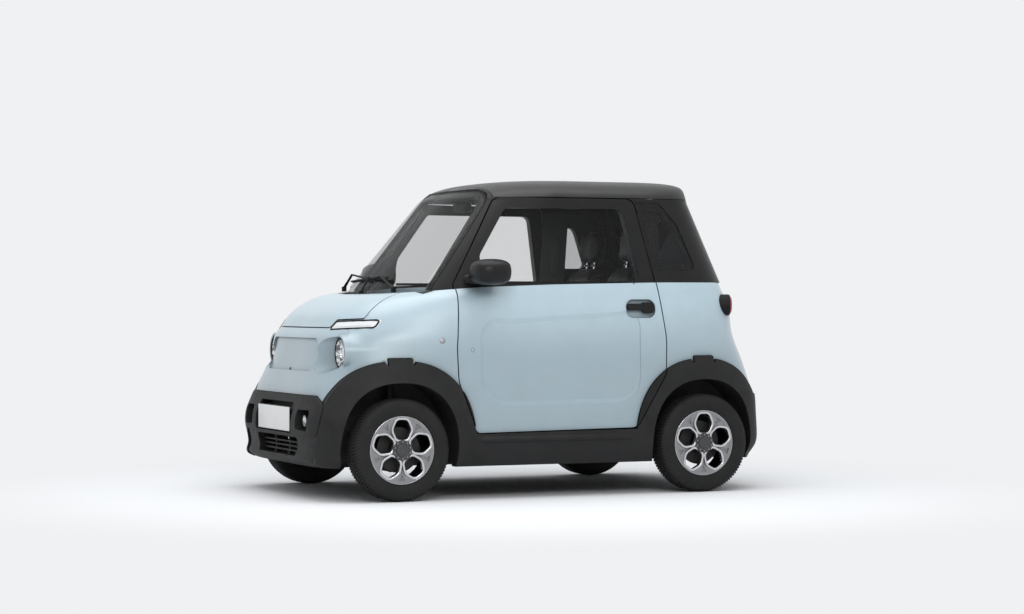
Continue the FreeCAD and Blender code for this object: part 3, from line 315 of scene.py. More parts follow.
def turned(profile, segments, closed=True):
    """Ring about the Y axis. The profile holds lateral and radial distances."""
    points = []
    for step in range(segments):
        angle = math.tau * step / segments
        for lateral, radial in profile:
            points.append((radial * math.sin(angle), lateral, radial * math.cos(angle)))
    return points, grid_faces(segments, len(profile), True, closed)


def placed(part, matrix):
    points, faces = part
    flip = matrix.determinant() < 0
    faces = [tuple(reversed(face)) for face in faces] if flip else faces
    return [matrix @ Vector(point) for point in points], faces


def tube(path, radius, sides=12, flat=1.0):
    """Round or flattened bar along a path of points, with closed ends."""
    path = [Vector(point) for point in path]
    rings = []
    for index, point in enumerate(path):
        ahead = path[min(index + 1, len(path) - 1)] - path[max(index - 1, 0)]
        side = ahead.cross(Vector((0, 0, 1)))
        if side.length < 1e-6:
            side = Vector((0, 1, 0))
        side.normalize()
        up = side.cross(ahead).normalized()
        for step in range(sides):
            angle = math.tau * step / sides
            rings.append(point + side * radius * math.cos(angle)
                + up * radius * flat * math.sin(angle))
    caps = [tuple(reversed(face)) for face in ends(len(path), sides)]
    return rings, grid_faces(len(path), sides, False, True) + caps


def block(size, bevel, segments=3, matrix=Matrix.Identity(4)):
    """Box about the origin with rounded edges, placed by a matrix."""
    form = bmesh.new()
    bmesh.ops.create_cube(form, size=1.0)
    bmesh.ops.scale(form, vec=Vector(size), verts=form.verts)
    if bevel:
        bmesh.ops.bevel(form, geom=form.edges[:], offset=bevel, segments=segments, profile=0.5,
            affect="EDGES")
    form.verts.index_update()
    points = [matrix @ vert.co for vert in form.verts]
    faces = [tuple(vert.index for vert in face.verts) for face in form.faces]
    form.free()
    return points, faces


def at(x, y, z):
    return Matrix.Translation((x, y, z))


def spun(degrees, axis):
    return Matrix.Rotation(math.radians(degrees), 4, axis)


def rounded_outline(corners, steps=6):
    """Points round a polygon whose corners are arcs. A corner is two coordinates and a radius."""
    points = []
    for index, (x, y, radius) in enumerate(corners):
        corner = Vector((x, y))
        before = Vector(corners[index - 1][:2]) - corner
        after = Vector(corners[(index + 1) % len(corners)][:2]) - corner
        half = before.angle(after) / 2
        run = radius / math.tan(half)
        start = corner + before.normalized() * run
        end = corner + after.normalized() * run
        bisector = (before.normalized() + after.normalized()).normalized()
        centre = corner + bisector * (radius / math.sin(half))
        first = start - centre
        swing = first.angle_signed(end - centre)
        for step in range(steps + 1):
            turn = -swing * step / steps
            points.append(centre + Matrix.Rotation(turn, 2) @ first)
    return points


# Wheels

TREAD_PITCHES = 96
STEPS_A_PITCH = 6
# Lateral place across the tread, base radius and which groove runs there, in millimetres.
TREAD_ROWS = ((72.4, 208, "wall"), (72.2, 216, "wall"), (71.0, 226, "knob"), (68.6, 234, "knob"),
    (65.8, 240, "knob"), (62.0, 245.6, "knob"), (57.0, 249.6, "outer"), (50.0, 252.2, "outer"),
    (42.0, 253.2, "outer"), (34.0, 253.6, "outer"), (31.0, 253.7, "outer"),
    (30.4, 253.7, "groove"), (25.6, 253.8, "groove"), (25.0, 253.8, "inner"),
    (18.0, 253.9, "inner"), (11.0, 254.0, "inner"), (5.0, 254.0, "inner"), (4.4, 254.0, "groove"),
    (0.0, 254.0, "groove"))


def tread_depth(kind, lateral, step):
    """How deep the tread is cut at a place, in millimetres."""
    if kind == "groove":
        return 6.5
    phase = step + round(abs(lateral) / 7.0) * (1 if lateral > 0 else -1)
    place = phase % STEPS_A_PITCH
    if kind == "outer":
        return 6.0 if place < 2 else 0.0
    if kind == "inner":
        return 4.5 if (phase + 3) % STEPS_A_PITCH < 1 else 0.0
    if kind == "knob":
        return 3.6 if place < 3 else 0.0
    return 0.0


def tyre_mesh():
    rows = list(TREAD_ROWS) + [(-a, r, k) for a, r, k in reversed(TREAD_ROWS[:-1])]
    count = TREAD_PITCHES * STEPS_A_PITCH
    points = []
    for step in range(count):
        angle = math.tau * step / count
        for lateral, radius, kind in rows:
            r = (radius - tread_depth(kind, lateral, step)) / 1000
            points.append((r * math.sin(angle), lateral / 1000, r * math.cos(angle)))
    tread = points, grid_faces(count, len(rows), True, False)
    wall = [(0.0724, 0.208), (0.0725, 0.203), (0.0725, 0.2022), (0.0725, 0.2004), (0.0725, 0.1996),
        (0.0722, 0.194), (0.0712, 0.187), (0.0706, 0.1862), (0.0706, 0.1842), (0.0698, 0.1834),
        (0.0685, 0.179), (0.069, 0.1765), (0.0684, 0.1738), (0.0655, 0.1722), (0.06, 0.17),
        (0.057, 0.166), (0.0566, 0.1545)]
    left = turned([(a, r) for a, r in reversed(wall)], 192, False)
    right = turned([(-a, r) for a, r in wall], 192, False)
    return shape("tyre", [tread, left, right])


# Wheel face outlines, as in the CAD source: radial and lateral place, and corner radius.
WINDOW = ((49, 27, 26), (49, -27, 26), (0, -49, 34), (-49, -27, 26), (-49, 27, 26), (0, 49, 34))
WINDOW_CENTRE = 101
FACE_Y = 0.0605
WINDOWS = 5


def window_ring(turn):
    """Machined frame round one window of the wheel: a rounded lip and a short throat."""
    outline = rounded_outline(WINDOW, 8)
    section = ((1.25, -0.001), (1.246, 0.0022), (1.222, 0.004), (1.16, 0.0048), (1.08, 0.0046),
        (1.03, 0.0036), (0.996, 0.0014), (0.98, -0.002), (0.972, -0.016))
    points = []
    for place in outline:
        for scale, proud in section:
            radial = (WINDOW_CENTRE + place.x * scale) / 1000
            across = place.y * scale / 1000
            points.append((across * math.cos(turn) + radial * math.sin(turn), FACE_Y + proud,
                radial * math.cos(turn) - across * math.sin(turn)))
    return points, grid_faces(len(outline), len(section), True, False)


def ring_of(count, radius, maker, phase=0.0):
    """Repeats a part about the Y axis."""
    parts = []
    for index in range(count):
        angle = phase + math.tau * index / count
        parts.append(placed(maker, Matrix.Rotation(angle, 4, "Y") @ at(0, 0, radius)))
    return parts


def bolt(radius, height):
    """Six-sided bolt head with a chamfer, standing out along Y."""
    points, faces = [], []
    for lateral, share in ((0, 1.0), (height * 0.75, 1.0), (height, 0.82)):
        for corner in range(6):
            angle = math.tau * corner / 6
            points.append((radius * share * math.cos(angle), lateral,
                radius * share * math.sin(angle)))
    faces = grid_faces(3, 6, False, True)
    faces.append(tuple(reversed(range(12, 18))))
    return points, faces


def wheel_pieces():
    tyre = tyre_mesh()
    machined = [window_ring(math.tau * index / WINDOWS) for index in range(WINDOWS)]
    machined.append(turned([(0.056, 0.1664), (0.0606, 0.1688), (0.0622, 0.1682), (0.0628, 0.1668),
        (0.0622, 0.1648), (0.06, 0.164)], 144, False))
    machined = shape("machined", machined)
    hub = [turned([(0.056, 0.0515), (0.064, 0.0515), (0.0656, 0.0498), (0.0656, 0.0335),
        (0.0646, 0.0318), (0.0646, 0.03), (0.0672, 0.029), (0.0686, 0.0262), (0.069, 0.018),
        (0.0682, 0.0172), (0.0682, 0.001)], 96, False)]
    hub += ring_of(10, 0.0418, placed(bolt(0.005, 0.0042), at(0, 0.0652, 0)))
    hub = shape("hub", hub)
    studs = shape("studs", ring_of(10, 0.0418, placed(bolt(0.0036, 0.0018), at(0, 0.0688, 0))))
    webs = shape("webs", ring_of(WINDOWS, 0.141, block((0.034, 0.003, 0.026), 0.001, 1,
        at(0, FACE_Y - 0.005, 0)), math.pi / WINDOWS))
    disc = shape("disc", [turned([(0.006, 0.05), (0.006, 0.112), (0.001, 0.113), (-0.004, 0.112),
        (-0.004, 0.05)], 96, True)])
    for name, x, across in WHEELS:
        body = "wheel_" + name
        place = at(x, across * WHEEL_Y, WHEEL_Z) @ Matrix.Scale(across, 4, (0, 1, 0))
        for label, source, material, slot_name in (("tyre_tread_", tyre, RUBBER, "tyre"),
                ("machined_face_", machined, BRIGHT, "alloy"), ("hub_cap_", hub, HUB,
                "trim_black"), ("hub_studs_", studs, STEEL, "steel"), ("spoke_webs_", webs, WEB,
                "alloy"), ("brake_disc_", disc, IRON, "steel")):
            mesh = source.copy()
            mesh.transform(place)
            if across < 0:
                mesh.flip_normals()
            item = add(label + name, mesh, material, body)
            if label == "tyre_tread_":
                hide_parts("tyre_" + name)


wheel_pieces()


# Windscreen: one wrapped pane, and its surround cut back to the pane's edge

# Edge of the pane seen from the side: X and Z in millimetres, from the scuttle to the header.
PANE_EDGE = ((640, 1000), (614, 1047), (563, 1113), (444, 1275), (322, 1439), (274, 1508),
    (262, 1530), (262, 1563))
PANE_TOP = 1.563
PANE_RECESS = 0.004
PANE_COLUMNS = 72
PANE_ROWS = 44
BORDER_ROWS = 5


def tree_of(*names):
    """Search tree over CAD nodes, for laying trim on their skins."""
    points, faces = [], []
    for name in names:
        mesh = NODES[name].data
        start = len(points)
        points.extend(vert.co.copy() for vert in mesh.vertices)
        faces.extend(tuple(start + corner for corner in face.vertices) for face in mesh.polygons)
    return BVHTree.FromPolygons(points, faces)


def pane_edge_x(z):
    for (low_x, low_z), (high_x, high_z) in zip(PANE_EDGE, PANE_EDGE[1:]):
        if z * 1000 <= high_z:
            share = (z * 1000 - low_z) / (high_z - low_z)
            return (low_x + share * (high_x - low_x)) / 1000
    return PANE_EDGE[-1][0] / 1000


def pane_point(skin, turn, z):
    """Where a level line of sight from outside meets the cabin's skin, at a turn about Z."""
    centre = Vector((pane_edge_x(z), 0, z))
    aside = Vector((math.cos(turn), math.sin(turn), 0))
    return skin.ray_cast(centre + aside * 2.0, -aside)


def calmed(line):
    """Evens out a line of points between its two ends."""
    middle = [a * 0.25 + b * 0.5 + c * 0.25 for a, b, c in zip(line, line[1:], line[2:])]
    return line[:1] + middle + line[-1:]


def windscreen_piece():
    pane_skin = tree_of("windscreen")
    skin = tree_of("windscreen", "windscreen_frame", "roof")
    grid = []
    for column in range(PANE_COLUMNS + 1):
        turn = math.pi * (column / PANE_COLUMNS - 0.5) * 0.999
        foot = 1.0
        while pane_point(pane_skin, turn, foot)[0] is None and foot < 1.1:
            foot += 0.003
        line = []
        for row in range(PANE_ROWS + 1):
            share = row / PANE_ROWS
            z = foot + 0.004 + (PANE_TOP - foot - 0.004) * (1 - (1 - share) ** 1.25)
            place, normal, index, reach = pane_point(skin, turn, z)
            sunk = pane_point(pane_skin, turn, z)[0]
            if sunk is None or (sunk - place).length > 0.002:
                place = place - normal * PANE_RECESS
            line.append(place)
        grid.append(line)
    for sweep in range(12):
        fresh = [list(line) for line in grid]
        for column in range(1, PANE_COLUMNS):
            for row in range(1, PANE_ROWS):
                beside = (grid[column - 1][row] + grid[column + 1][row] + grid[column][row - 1]
                    + grid[column][row + 1])
                fresh[column][row] = grid[column][row] * 0.5 + beside * 0.125
        grid = fresh
    for sweep in range(30):
        for column in (0, 1, -2, -1):
            grid[column] = calmed(grid[column])
    for sweep in range(40):
        for row in (0, 1):
            for line, place in zip(grid, calmed([line[row] for line in grid])):
                line[row] = place
    outer = [place for line in grid for place in line]
    rows = PANE_ROWS + 1
    faces = grid_faces(PANE_COLUMNS + 1, rows, False, False)
    pane = shape("windscreen_pane", [(outer, faces)])
    pane.update()
    normals = [vert.normal.copy() for vert in pane.vertices]
    facing = 1 if normals[rows * (PANE_COLUMNS // 2) + rows // 2].x > 0 else -1
    inner = [place - normal * facing * 0.0045 for place, normal in zip(outer, normals)]
    count = len(outer)
    back = [tuple(count + corner for corner in reversed(face)) for face in faces]
    rim = list(range(0, count, rows)) + list(range(count - rows + 1, count))
    rim += list(range(count - 1 - rows, 0, -rows)) + list(range(rows - 2, 0, -1))
    sides = [(a, b, count + b, count + a) for a, b in zip(rim, rim[1:] + rim[:1])]
    solid = shape("windscreen_pane", [(outer + inner, faces + back + sides)])
    face_outward(solid)
    pane_item = add("windscreen_pane", solid, CLEAR, angle=60)
    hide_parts("windscreen")

    # Black ceramic border, on the inside of the pane
    def border(column, row):
        return [grid[column][row] - normals[column * rows + row] * facing * 0.0052]

    band = []
    for column in range(PANE_COLUMNS + 1):
        for row in (PANE_ROWS, PANE_ROWS - BORDER_ROWS):
            band += border(column, row)
    parts = [(band, [(2 * c, 2 * c + 2, 2 * c + 3, 2 * c + 1) for c in range(PANE_COLUMNS)])]
    for columns in ((0, 1), (PANE_COLUMNS, PANE_COLUMNS - 1)):
        side = []
        for row in range(PANE_ROWS + 1):
            side += border(columns[0], row) + border(columns[1], row)
        parts.append((side, [(2 * r, 2 * r + 1, 2 * r + 3, 2 * r + 2) for r in range(PANE_ROWS)]))
    add("windscreen_border", parts, DARK)

    seals = [tube([place + Vector((0.001, 0, 0.001)) for place in line], 0.005, 10)
        for line in (grid[0], grid[-1])]
    add("windscreen_seal", seals, DARK)

    # Surround: the CAD frame with the wider opening taken out of it
    source = bmesh.new()
    source.from_mesh(NODES["windscreen_frame"].data)
    bmesh.ops.remove_doubles(source, verts=source.verts[:], dist=0.00002)
    frame_mesh = bpy.data.meshes.new("windscreen_surround")
    source.to_mesh(frame_mesh)
    source.free()
    outline = [(x / 1000, z / 1000) for x, z in PANE_EDGE] + [(1.5, 1.563), (1.5, 1.0)]
    points = [(x, y, z) for y in (-1.2, 1.2) for x, z in outline]
    corners = len(outline)
    cut_faces = [tuple(range(corners)), tuple(reversed(range(corners, 2 * corners)))]
    cut_faces += [(a, a + corners, (a + 1) % corners + corners, (a + 1) % corners)
        for a in range(corners)]
    opening = shape("opening", [(points, cut_faces)])
    face_outward(opening)
    cutter = linked("opening", opening)
    frame_item = add("windscreen_surround", frame_mesh, TRIM)
    cut = frame_item.modifiers.new("opening", "BOOLEAN")
    cut.operation = "DIFFERENCE"
    cut.object = cutter
    cut.solver = "EXACT"
    settle(frame_item, 32.0)
    bpy.data.objects.remove(cutter)
    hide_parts("windscreen_frame")


def settle(item, angle):
    """Applies a piece's modifiers to its mesh."""
    graph = bpy.context.evaluated_depsgraph_get()
    mesh = bpy.data.meshes.new_from_object(item.evaluated_get(graph), depsgraph=graph)
    item.modifiers.clear()
    item.data = mesh
    smooth(mesh, angle)


windscreen_piece()


# Lamps

def along(axis, centre):
    """Turns the Y axis of a turned part onto an axis at a centre."""
    return at(*centre) @ Vector((0, 1, 0)).rotation_difference(Vector(axis)).to_matrix().to_4x4()


def faceted_bowl(radius, depth, rings, sectors, jitter):
    """Reflector of flat facets, each tilted a little from the next."""
    points = []
    for ring in range(rings + 1):
        share = ring / rings
        for sector in range(sectors):
            angle = math.tau * (sector + 0.5 * (ring % 2)) / sectors
            r = radius * (0.3 + 0.7 * share)
            y = -depth * (1 - share ** 1.7) + jitter * random.uniform(-1, 1) * (0 < ring < rings)
            points.append((r * math.sin(angle), y, r * math.cos(angle)))
    return points, grid_faces(rings + 1, sectors, False, True)


def lamp_unit(name, centre, radius, depth, replaced):
    """Round lamp: cup, bezel, faceted reflector, projector and a domed lens."""
    place = along((1, 0, 0), centre)
    r = radius
    cup = turned([(-depth, 0.0005), (-depth, 0.62 * r), (-0.6 * depth, 0.96 * r),
        (-0.004, 0.985 * r), (0.0015, 0.985 * r), (0.004, 0.955 * r), (0.0035, 0.915 * r),
        (-0.004, 0.905 * r), (-0.6 * depth, 0.88 * r), (-depth + 0.004, 0.56 * r), (-depth + 0.004,
        0.0005)], 72, True)
    item = add(name + "_bezel", [placed(cup, place)], DARK)
    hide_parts(replaced)
    bowl = faceted_bowl(0.885 * r, 0.5 * depth, 4, 14, 0.018 * r)
    # The reflector's facets carry painted reflections in their base colour.
    add(name + "_reflector", [placed(bowl, place)], PAINTED_FACETS, angle=4)
    eye = turned([(-0.52 * depth, 0.26 * r), (-0.3 * depth, 0.36 * r), (-0.16 * depth, 0.37 * r),
        (-0.1 * depth, 0.34 * r), (-0.16 * depth, 0.3 * r), (-0.3 * depth, 0.28 * r)], 48, True)
    core = turned([(-0.34 * depth, 0.29 * r), (-0.24 * depth, 0.22 * r), (-0.18 * depth, 0.12 * r),
        (-0.16 * depth, 0.0005)], 48, False)
    add(name + "_projector", [placed(eye, place)], CHROME)
    add(name + "_bulb", [placed(core, place)], LAMP_WHITE)
    dome = [(-0.03, 0.925), (0.0, 0.915), (0.03, 0.86), (0.085, 0.65), (0.115, 0.4), (0.13, 0.18),
        (0.133, 0.001)]
    outer = [(lift * r, share * r) for lift, share in dome]
    inner = [(lift - 0.0015, radial * 0.985) for lift, radial in reversed(outer)]
    lens = turned(outer + inner, 64, True)
    add(name + "_glass", [placed(lens, place)], LENS, angle=50)


# Centres, and radius and depth
HEADLAMP = (1.078, 0.51, 0.728)
FOG_LAMP = (1.228, 0.408, 0.392)
HEADLAMP_SIZE = (0.077, 0.058)
FOG_LAMP_SIZE = (0.034, 0.022)
TAIL_LAMP = (-1.053, 0.63, 0.967)
TAIL_SPLAY = math.radians(22)
random.seed(11)
for side, across in LEFT_RIGHT:
    lamp_unit("headlamp_" + side, (HEADLAMP[0], across * HEADLAMP[1], HEADLAMP[2]), *HEADLAMP_SIZE,
        "headlamps")
    lamp_unit("fog_lamp_" + side, (FOG_LAMP[0], across * FOG_LAMP[1], FOG_LAMP[2]), *FOG_LAMP_SIZE,
        "fog_lamps")
    tail_place = along((-math.cos(TAIL_SPLAY), across * math.sin(TAIL_SPLAY), 0),
        (TAIL_LAMP[0], across * TAIL_LAMP[1], TAIL_LAMP[2]))
    case = turned([(-0.076, 0.0005), (-0.076, 0.054), (-0.072, 0.0558), (-0.022, 0.056),
        (-0.012, 0.0545), (-0.01, 0.05), (-0.016, 0.0485), (-0.03, 0.048), (-0.032, 0.0005)], 72,
        True)
    case_item = add("tail_lamp_case_" + side, [placed(case, tail_place)], DARK)
    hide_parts("tail_lamps")
    red = turned([(-0.03, 0.0478), (-0.012, 0.0492), (-0.005, 0.0455), (-0.001, 0.038),
        (-0.0002, 0.03), (-0.0014, 0.0285), (0.0, 0.027), (0.0, 0.0005)], 72, False)
    add("tail_lamp_lens_" + side, [placed(red, tail_place)], TAIL, angle=50)


# Strips laid on the skin

def laid_line(skin, outline, direction, steps=10):
    """An outline of straight runs, dropped onto a skin along a direction."""
    points = []
    direction = Vector(direction)
    for start, end in zip(outline, outline[1:]):
        start, end = Vector(start), Vector(end)
        for step in range(steps):
            place = start.lerp(end, step / steps)
            hit = skin.ray_cast(place - direction * 0.6, direction)
            if hit[0] is not None:
                points.append((hit[0], hit[1]))
    return points


def strip(places, width, height, closed=True):
    """Low moulding that follows places on a skin."""
    count = len(places)
    points = []
    for index, (place, normal) in enumerate(places):
        before = places[index - 1][0] if closed or index else place
        after = places[(index + 1) % count][0] if closed or index + 1 < count else place
        side = (after - before).cross(normal).normalized() * (width / 2)
        up = normal.normalized()
        points += [place - side - up * 0.001, place - side * 0.9 + up * height, place + side * 0.9
            + up * height, place + side - up * 0.001]
    return points, grid_faces(count, 4, closed, True)


lamp_skin = tree_of("daytime_lamps", "fenders", "front_fascia")
for side, across in LEFT_RIGHT:
    rounded = rounded_outline(((0.3965, 0.845, 0.01), (0.6165, 0.8555, 0.01),
        (0.614, 0.893, 0.012), (0.411, 0.885, 0.012)), 6)
    outline = [(1.2, across * place.x, place.y) for place in rounded + rounded[:1]]
    frame_line = laid_line(lamp_skin, outline, (-1, 0, 0), 4)
    add("daytime_frame_" + side, [strip(frame_line, 0.0095, 0.0018)], DARK)
    middle = [(1.2, across * y, z) for y, z in ((0.408, 0.857), (0.608, 0.8665))]
    add("daytime_guide_" + side, [strip(laid_line(lamp_skin, middle, (-1, 0, 0), 24), 0.008,
        0.0012, False)], CHROME)


# Blank plates

def plate(name, x, z, facing):
    """Blank number plate with a raised border and folded edge, in a black holder."""
    width, height = PLATE_SIZE
    back = x - facing * 0.0022
    sheet = block((0.0022, width, height), 0.001, 2, at(x, 0, z))
    add(name + "_sheet", [sheet], PLATE)
    bars = []
    for y, run_z, size_y, size_z in ((0, height / 2, width + 0.012, 0.006), (0, -height / 2, width
            + 0.012, 0.006), (width / 2 + 0.003, 0, 0.006, height), (-width / 2 - 0.003, 0, 0.006,
            height)):
        bars.append(block((0.0034, size_y, size_z), 0.0012, 2, at(back, y, z + run_z)))
    bars.append(block((0.02, width * 0.9, height * 0.8), 0.002, 2, at(back - facing * 0.01, 0, z)))
    add(name + "_holder", bars, DARK)


PLATE_SIZE = (0.504, 0.12)
plate("front_plate", 1.2572, 0.3945, 1)


# Wipers

def wiper(name, pivot, elbow, blade_start, blade_end):
    near, middle = pivot.lerp(elbow, 0.35), blade_start.lerp(blade_end, 0.5)
    bow = Vector((1, 0, 0.6)).normalized() * 0.01
    run = [blade_start.lerp(blade_end, k / 8) + bow * (1 - (k / 4 - 1) ** 2) * 0.6
        for k in range(9)]
    parts = [tube([pivot - Vector((0, 0, 0.02)), pivot, pivot + Vector((0, 0, 0.006))], 0.013, 20),
        tube([pivot, near], 0.009, 10, 0.6), tube([near, pivot.lerp(elbow, 0.5), elbow], 0.0075,
        10, 0.7), tube([elbow, middle + bow], 0.0062, 10, 0.8), tube(run, 0.0064, 8, 0.8),
        tube([place - bow * 0.75 for place in run], 0.0032, 8, 1.6)]
    add(name, parts, DARK)


glass_skin = tree_of("windscreen")


def on_glass(y, z, lift):
    hit = glass_skin.ray_cast(Vector((2, y, z)), Vector((-1, 0, 0)))
    return hit[0] + hit[1] * lift


wiper("wiper_left", on_glass(0.375, 1.04, 0.016), on_glass(0.175, 1.098, 0.026),
    on_glass(0.3, 1.086, 0.012), on_glass(-0.18, 1.108, 0.012))
wiper("wiper_right", on_glass(-0.4, 1.048, 0.016), on_glass(-0.33, 1.108, 0.03),
    on_glass(-0.3, 1.084, 0.012), on_glass(0.23, 1.1, 0.012))


# Small discs and marks

def button(name, hit, radius, material, body="chassis"):
    """Small round head on a skin, where a ray met it."""
    ring = turned([(0.0, radius * 1.25), (0.0016, radius * 1.2), (0.002, radius * 1.05),
        (0.0006, radius), (0.0018, radius * 0.92), (0.0024, radius * 0.5), (0.0025, 0.0003)], 40,
        False)
    add(name, [placed(ring, along(hit[1], hit[0]))], material, body)


def seen_from(skin, start, direction):
    return skin.ray_cast(Vector(start), Vector(direction))


fender_skin = tree_of("fenders")
for side, across in LEFT_RIGHT:
    hit = seen_from(fender_skin, (0.62, across * 2, 0.79), (0, -across, 0))
    button("fender_stud_" + side, hit, 0.011, STEEL)
    hit = seen_from(tree_of("door_" + side), (0.46, across * 2, 0.744), (0, -across, 0))
    button("door_stud_" + side, hit, 0.008, PAINT, "door_assembly_" + side)
button("nose_stud", seen_from(tree_of("front_fascia"), (2, 0, 0.64), (-1, 0, 0)), 0.008, IRON)


# Seats: padded pieces blown up by a cloth simulation

SEAT_Y = 0.248
BACK_TILT = -13
CLOTH_FRAMES = 20


def slab(outline, half, edge):
    """Pad with a rounded outline in Y and Z, and edges that draw in towards both faces."""
    centre = sum(outline, Vector((0, 0))) / len(outline)
    points = []
    section = ((-half, edge * 1.7), (-half * 0.82, edge * 0.6), (-half * 0.45, 0.0),
        (half * 0.45, 0.0), (half * 0.82, edge * 0.6), (half, edge * 1.7))
    for x, inward in section:
        for place in outline:
            away = place - centre
            place = place - away.normalized() * inward
            points.append((x, place.x, place.y))
    count = len(outline)
    return points, grid_faces(len(section), count, False, True) + ends(len(section), count)


def pad_mesh(name, part, voxel, pinned):
    """Evenly meshed copy of a part, and the vertices that its seams hold."""
    item = linked(name, shape(name, [part]))
    face_outward(item.data)
    remesh = item.modifiers.new("remesh", "REMESH")
    remesh.mode = "VOXEL"
    remesh.voxel_size = voxel
    settle(item, 180.0)
    held = item.vertex_groups.new(name="held")
    held.add([vert.index for vert in item.data.vertices if pinned(vert.co)], 1.0, "REPLACE")
    return item


def blow_up(items, cap):
    """Cloth under pressure, capped per point and applied, then subdivided once."""
    for item in items:
        cloth = item.modifiers.new("cloth", "CLOTH")
        cloth.settings.use_pressure = True
        cloth.settings.uniform_pressure_force = 4.0
        cloth.settings.effector_weights.gravity = 0.0
        cloth.settings.vertex_group_mass = "held"
        cloth.settings.quality = 5
        cloth.collision_settings.use_collision = False
    for moment in range(1, CLOTH_FRAMES + 1):
        bpy.context.scene.frame_set(moment)
    graph = bpy.context.evaluated_depsgraph_get()
    meshes = []
    for item in items:
        blown = bpy.data.meshes.new_from_object(item.evaluated_get(graph), depsgraph=graph)
        for before, after in zip(item.data.vertices, blown.vertices):
            move = after.co - before.co
            if move.length > cap:
                after.co = before.co + move.normalized() * cap
        item.modifiers.clear()
        item.data = blown
        smooth = item.modifiers.new("smooth", "SUBSURF")
        smooth.levels = smooth.render_levels = 1
        settle(item, 180.0)
        meshes.append(item.data)
        bpy.data.objects.remove(item)
    bpy.context.scene.frame_set(1)
    return meshes


def symmetric(corners):
    """Outline mirrored about its upright middle, from the corners of its right half."""
    left = [(-y, z, radius) for y, z, radius in corners]
    return rounded_outline(left[:1] + list(corners) + left[:0:-1])


BACK_OUTLINE = symmetric(((0.2, 0.0, 0.05), (0.224, 0.4, 0.3), (0.21, 0.61, 0.07),
    (0.09, 0.672, 0.12)))
CUSHION_OUTLINE = symmetric(((0.205, -0.235, 0.06), (0.205, 0.225, 0.08)))
HEAD_OUTLINE = symmetric(((0.092, -0.082, 0.034), (0.102, 0.082, 0.045)))
SEAM_Y = 0.118


def seats():
    seams = {"back": lambda p: abs(abs(p.y) - SEAM_Y) < 0.006 and p.x > 0.0 and 0.06 < p.z < 0.6,
        "cushion": lambda p: abs(abs(p.y) - SEAM_Y) < 0.006 and p.x > 0.0 and abs(p.z) < 0.19,
        "head": lambda p: abs(p.x) < 0.005 and abs(p.y) > 0.07}
    parts = {"back": (slab(BACK_OUTLINE, 0.05, 0.02), 0.009), "cushion": (slab(CUSHION_OUTLINE,
        0.05, 0.02), 0.009), "head": (slab(HEAD_OUTLINE, 0.04, 0.012), 0.006)}
    order = ("back", "cushion", "head")
    items = [pad_mesh(name, parts[name][0], parts[name][1], seams[name]) for name in order]
    meshes = dict(zip(order, blow_up(items, 0.022)))
    back_place = at(-0.49, 0, 0.52) @ spun(BACK_TILT, "Y")
    cushion_place = at(-0.265, 0, 0.497) @ spun(-94, "Y")
    head_place = at(-0.664, 0, 1.281) @ spun(-5, "Y")
    places = {"back": back_place, "cushion": cushion_place, "head": head_place}
    for side, across in LEFT_RIGHT:
        shift = at(0, across * SEAT_Y, 0)
        for name in order:
            mesh = meshes[name].copy()
            mesh.transform(shift @ places[name])
            item = add("seat_%s_%s" % (name, side), mesh, FABRIC, angle=60)
            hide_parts("seats")
        # Sewn channels, laid into the blown faces
        piping = []
        for name in ("back", "cushion"):
            tree = BVHTree.FromPolygons([vert.co for vert in meshes[name].vertices],
                [tuple(face.vertices) for face in meshes[name].polygons])
            low, high = (0.05, 0.61) if name == "back" else (-0.2, 0.2)
            for seam in (-SEAM_Y, SEAM_Y):
                line = []
                for step in range(33):
                    z = low + (high - low) * step / 32
                    hit = tree.ray_cast(Vector((0.3, seam, z)), Vector((-1, 0, 0)))
                    if hit[0] is not None:
                        line.append(hit[0] + Vector((0.0005, 0, 0)))
                if len(line) > 2:
                    piping.append(placed(tube(line, 0.0022, 8), shift @ places[name]))
        add("seat_piping_" + side, piping, DARK)
        base = [block((0.44, 0.36, 0.05), 0.012, 3, shift @ at(-0.27, 0, 0.432)),
            block((0.03, 0.33, 0.5), 0.012, 3, shift @ back_place @ at(-0.045, 0, 0.27))]
        for sign in (1, -1):
            base += [block((0.36, 0.06, 0.18), 0.008, 2, shift @ at(-0.27, sign * 0.13, 0.325)),
                block((0.42, 0.03, 0.022), 0.004, 2, shift @ at(-0.27, sign * 0.13, 0.232)),
                block((0.06, 0.05, 0.16), 0.014, 3, shift @ at(-0.5, sign * 0.205, 0.5))]
        add("seat_frame_" + side, base, INTERIOR)
        posts = []
        for offset in (-0.047, 0.047):
            posts.append(tube([shift @ Vector((-0.642, offset, 1.12)),
                shift @ Vector((-0.652, offset, 1.18)), shift @ Vector((-0.658, offset, 1.24))],
                0.006, 16))
            posts.append(placed(turned([(0.0, 0.014), (0.006, 0.013), (0.01, 0.01), (0.01, 0.007)],
                24, False), shift @ along((0, 0, 1), (-0.65, offset, 1.178))))
        add("head_posts_" + side, posts, CHROME)


seats()


# Cabin furniture

def swollen(half, power, rows=24, columns=48, flat=None):
    """Rounded box form. A flat limit cuts its rear straight."""
    def bend(value):
        return math.copysign(abs(value) ** (2.0 / power), value)

    points = []
    for row in range(1, rows):
        rise = math.pi * (row / rows - 0.5)
        for column in range(columns):
            turn = math.tau * column / columns
            x = bend(math.cos(rise)) * bend(math.cos(turn)) * half[0]
            y = bend(math.cos(rise)) * bend(math.sin(turn)) * half[1]
            z = bend(math.sin(rise)) * half[2]
            points.append((x if flat is None else max(x, flat), y, z))
    return points, grid_faces(rows - 1, columns, False, True) + ends(rows - 1, columns)


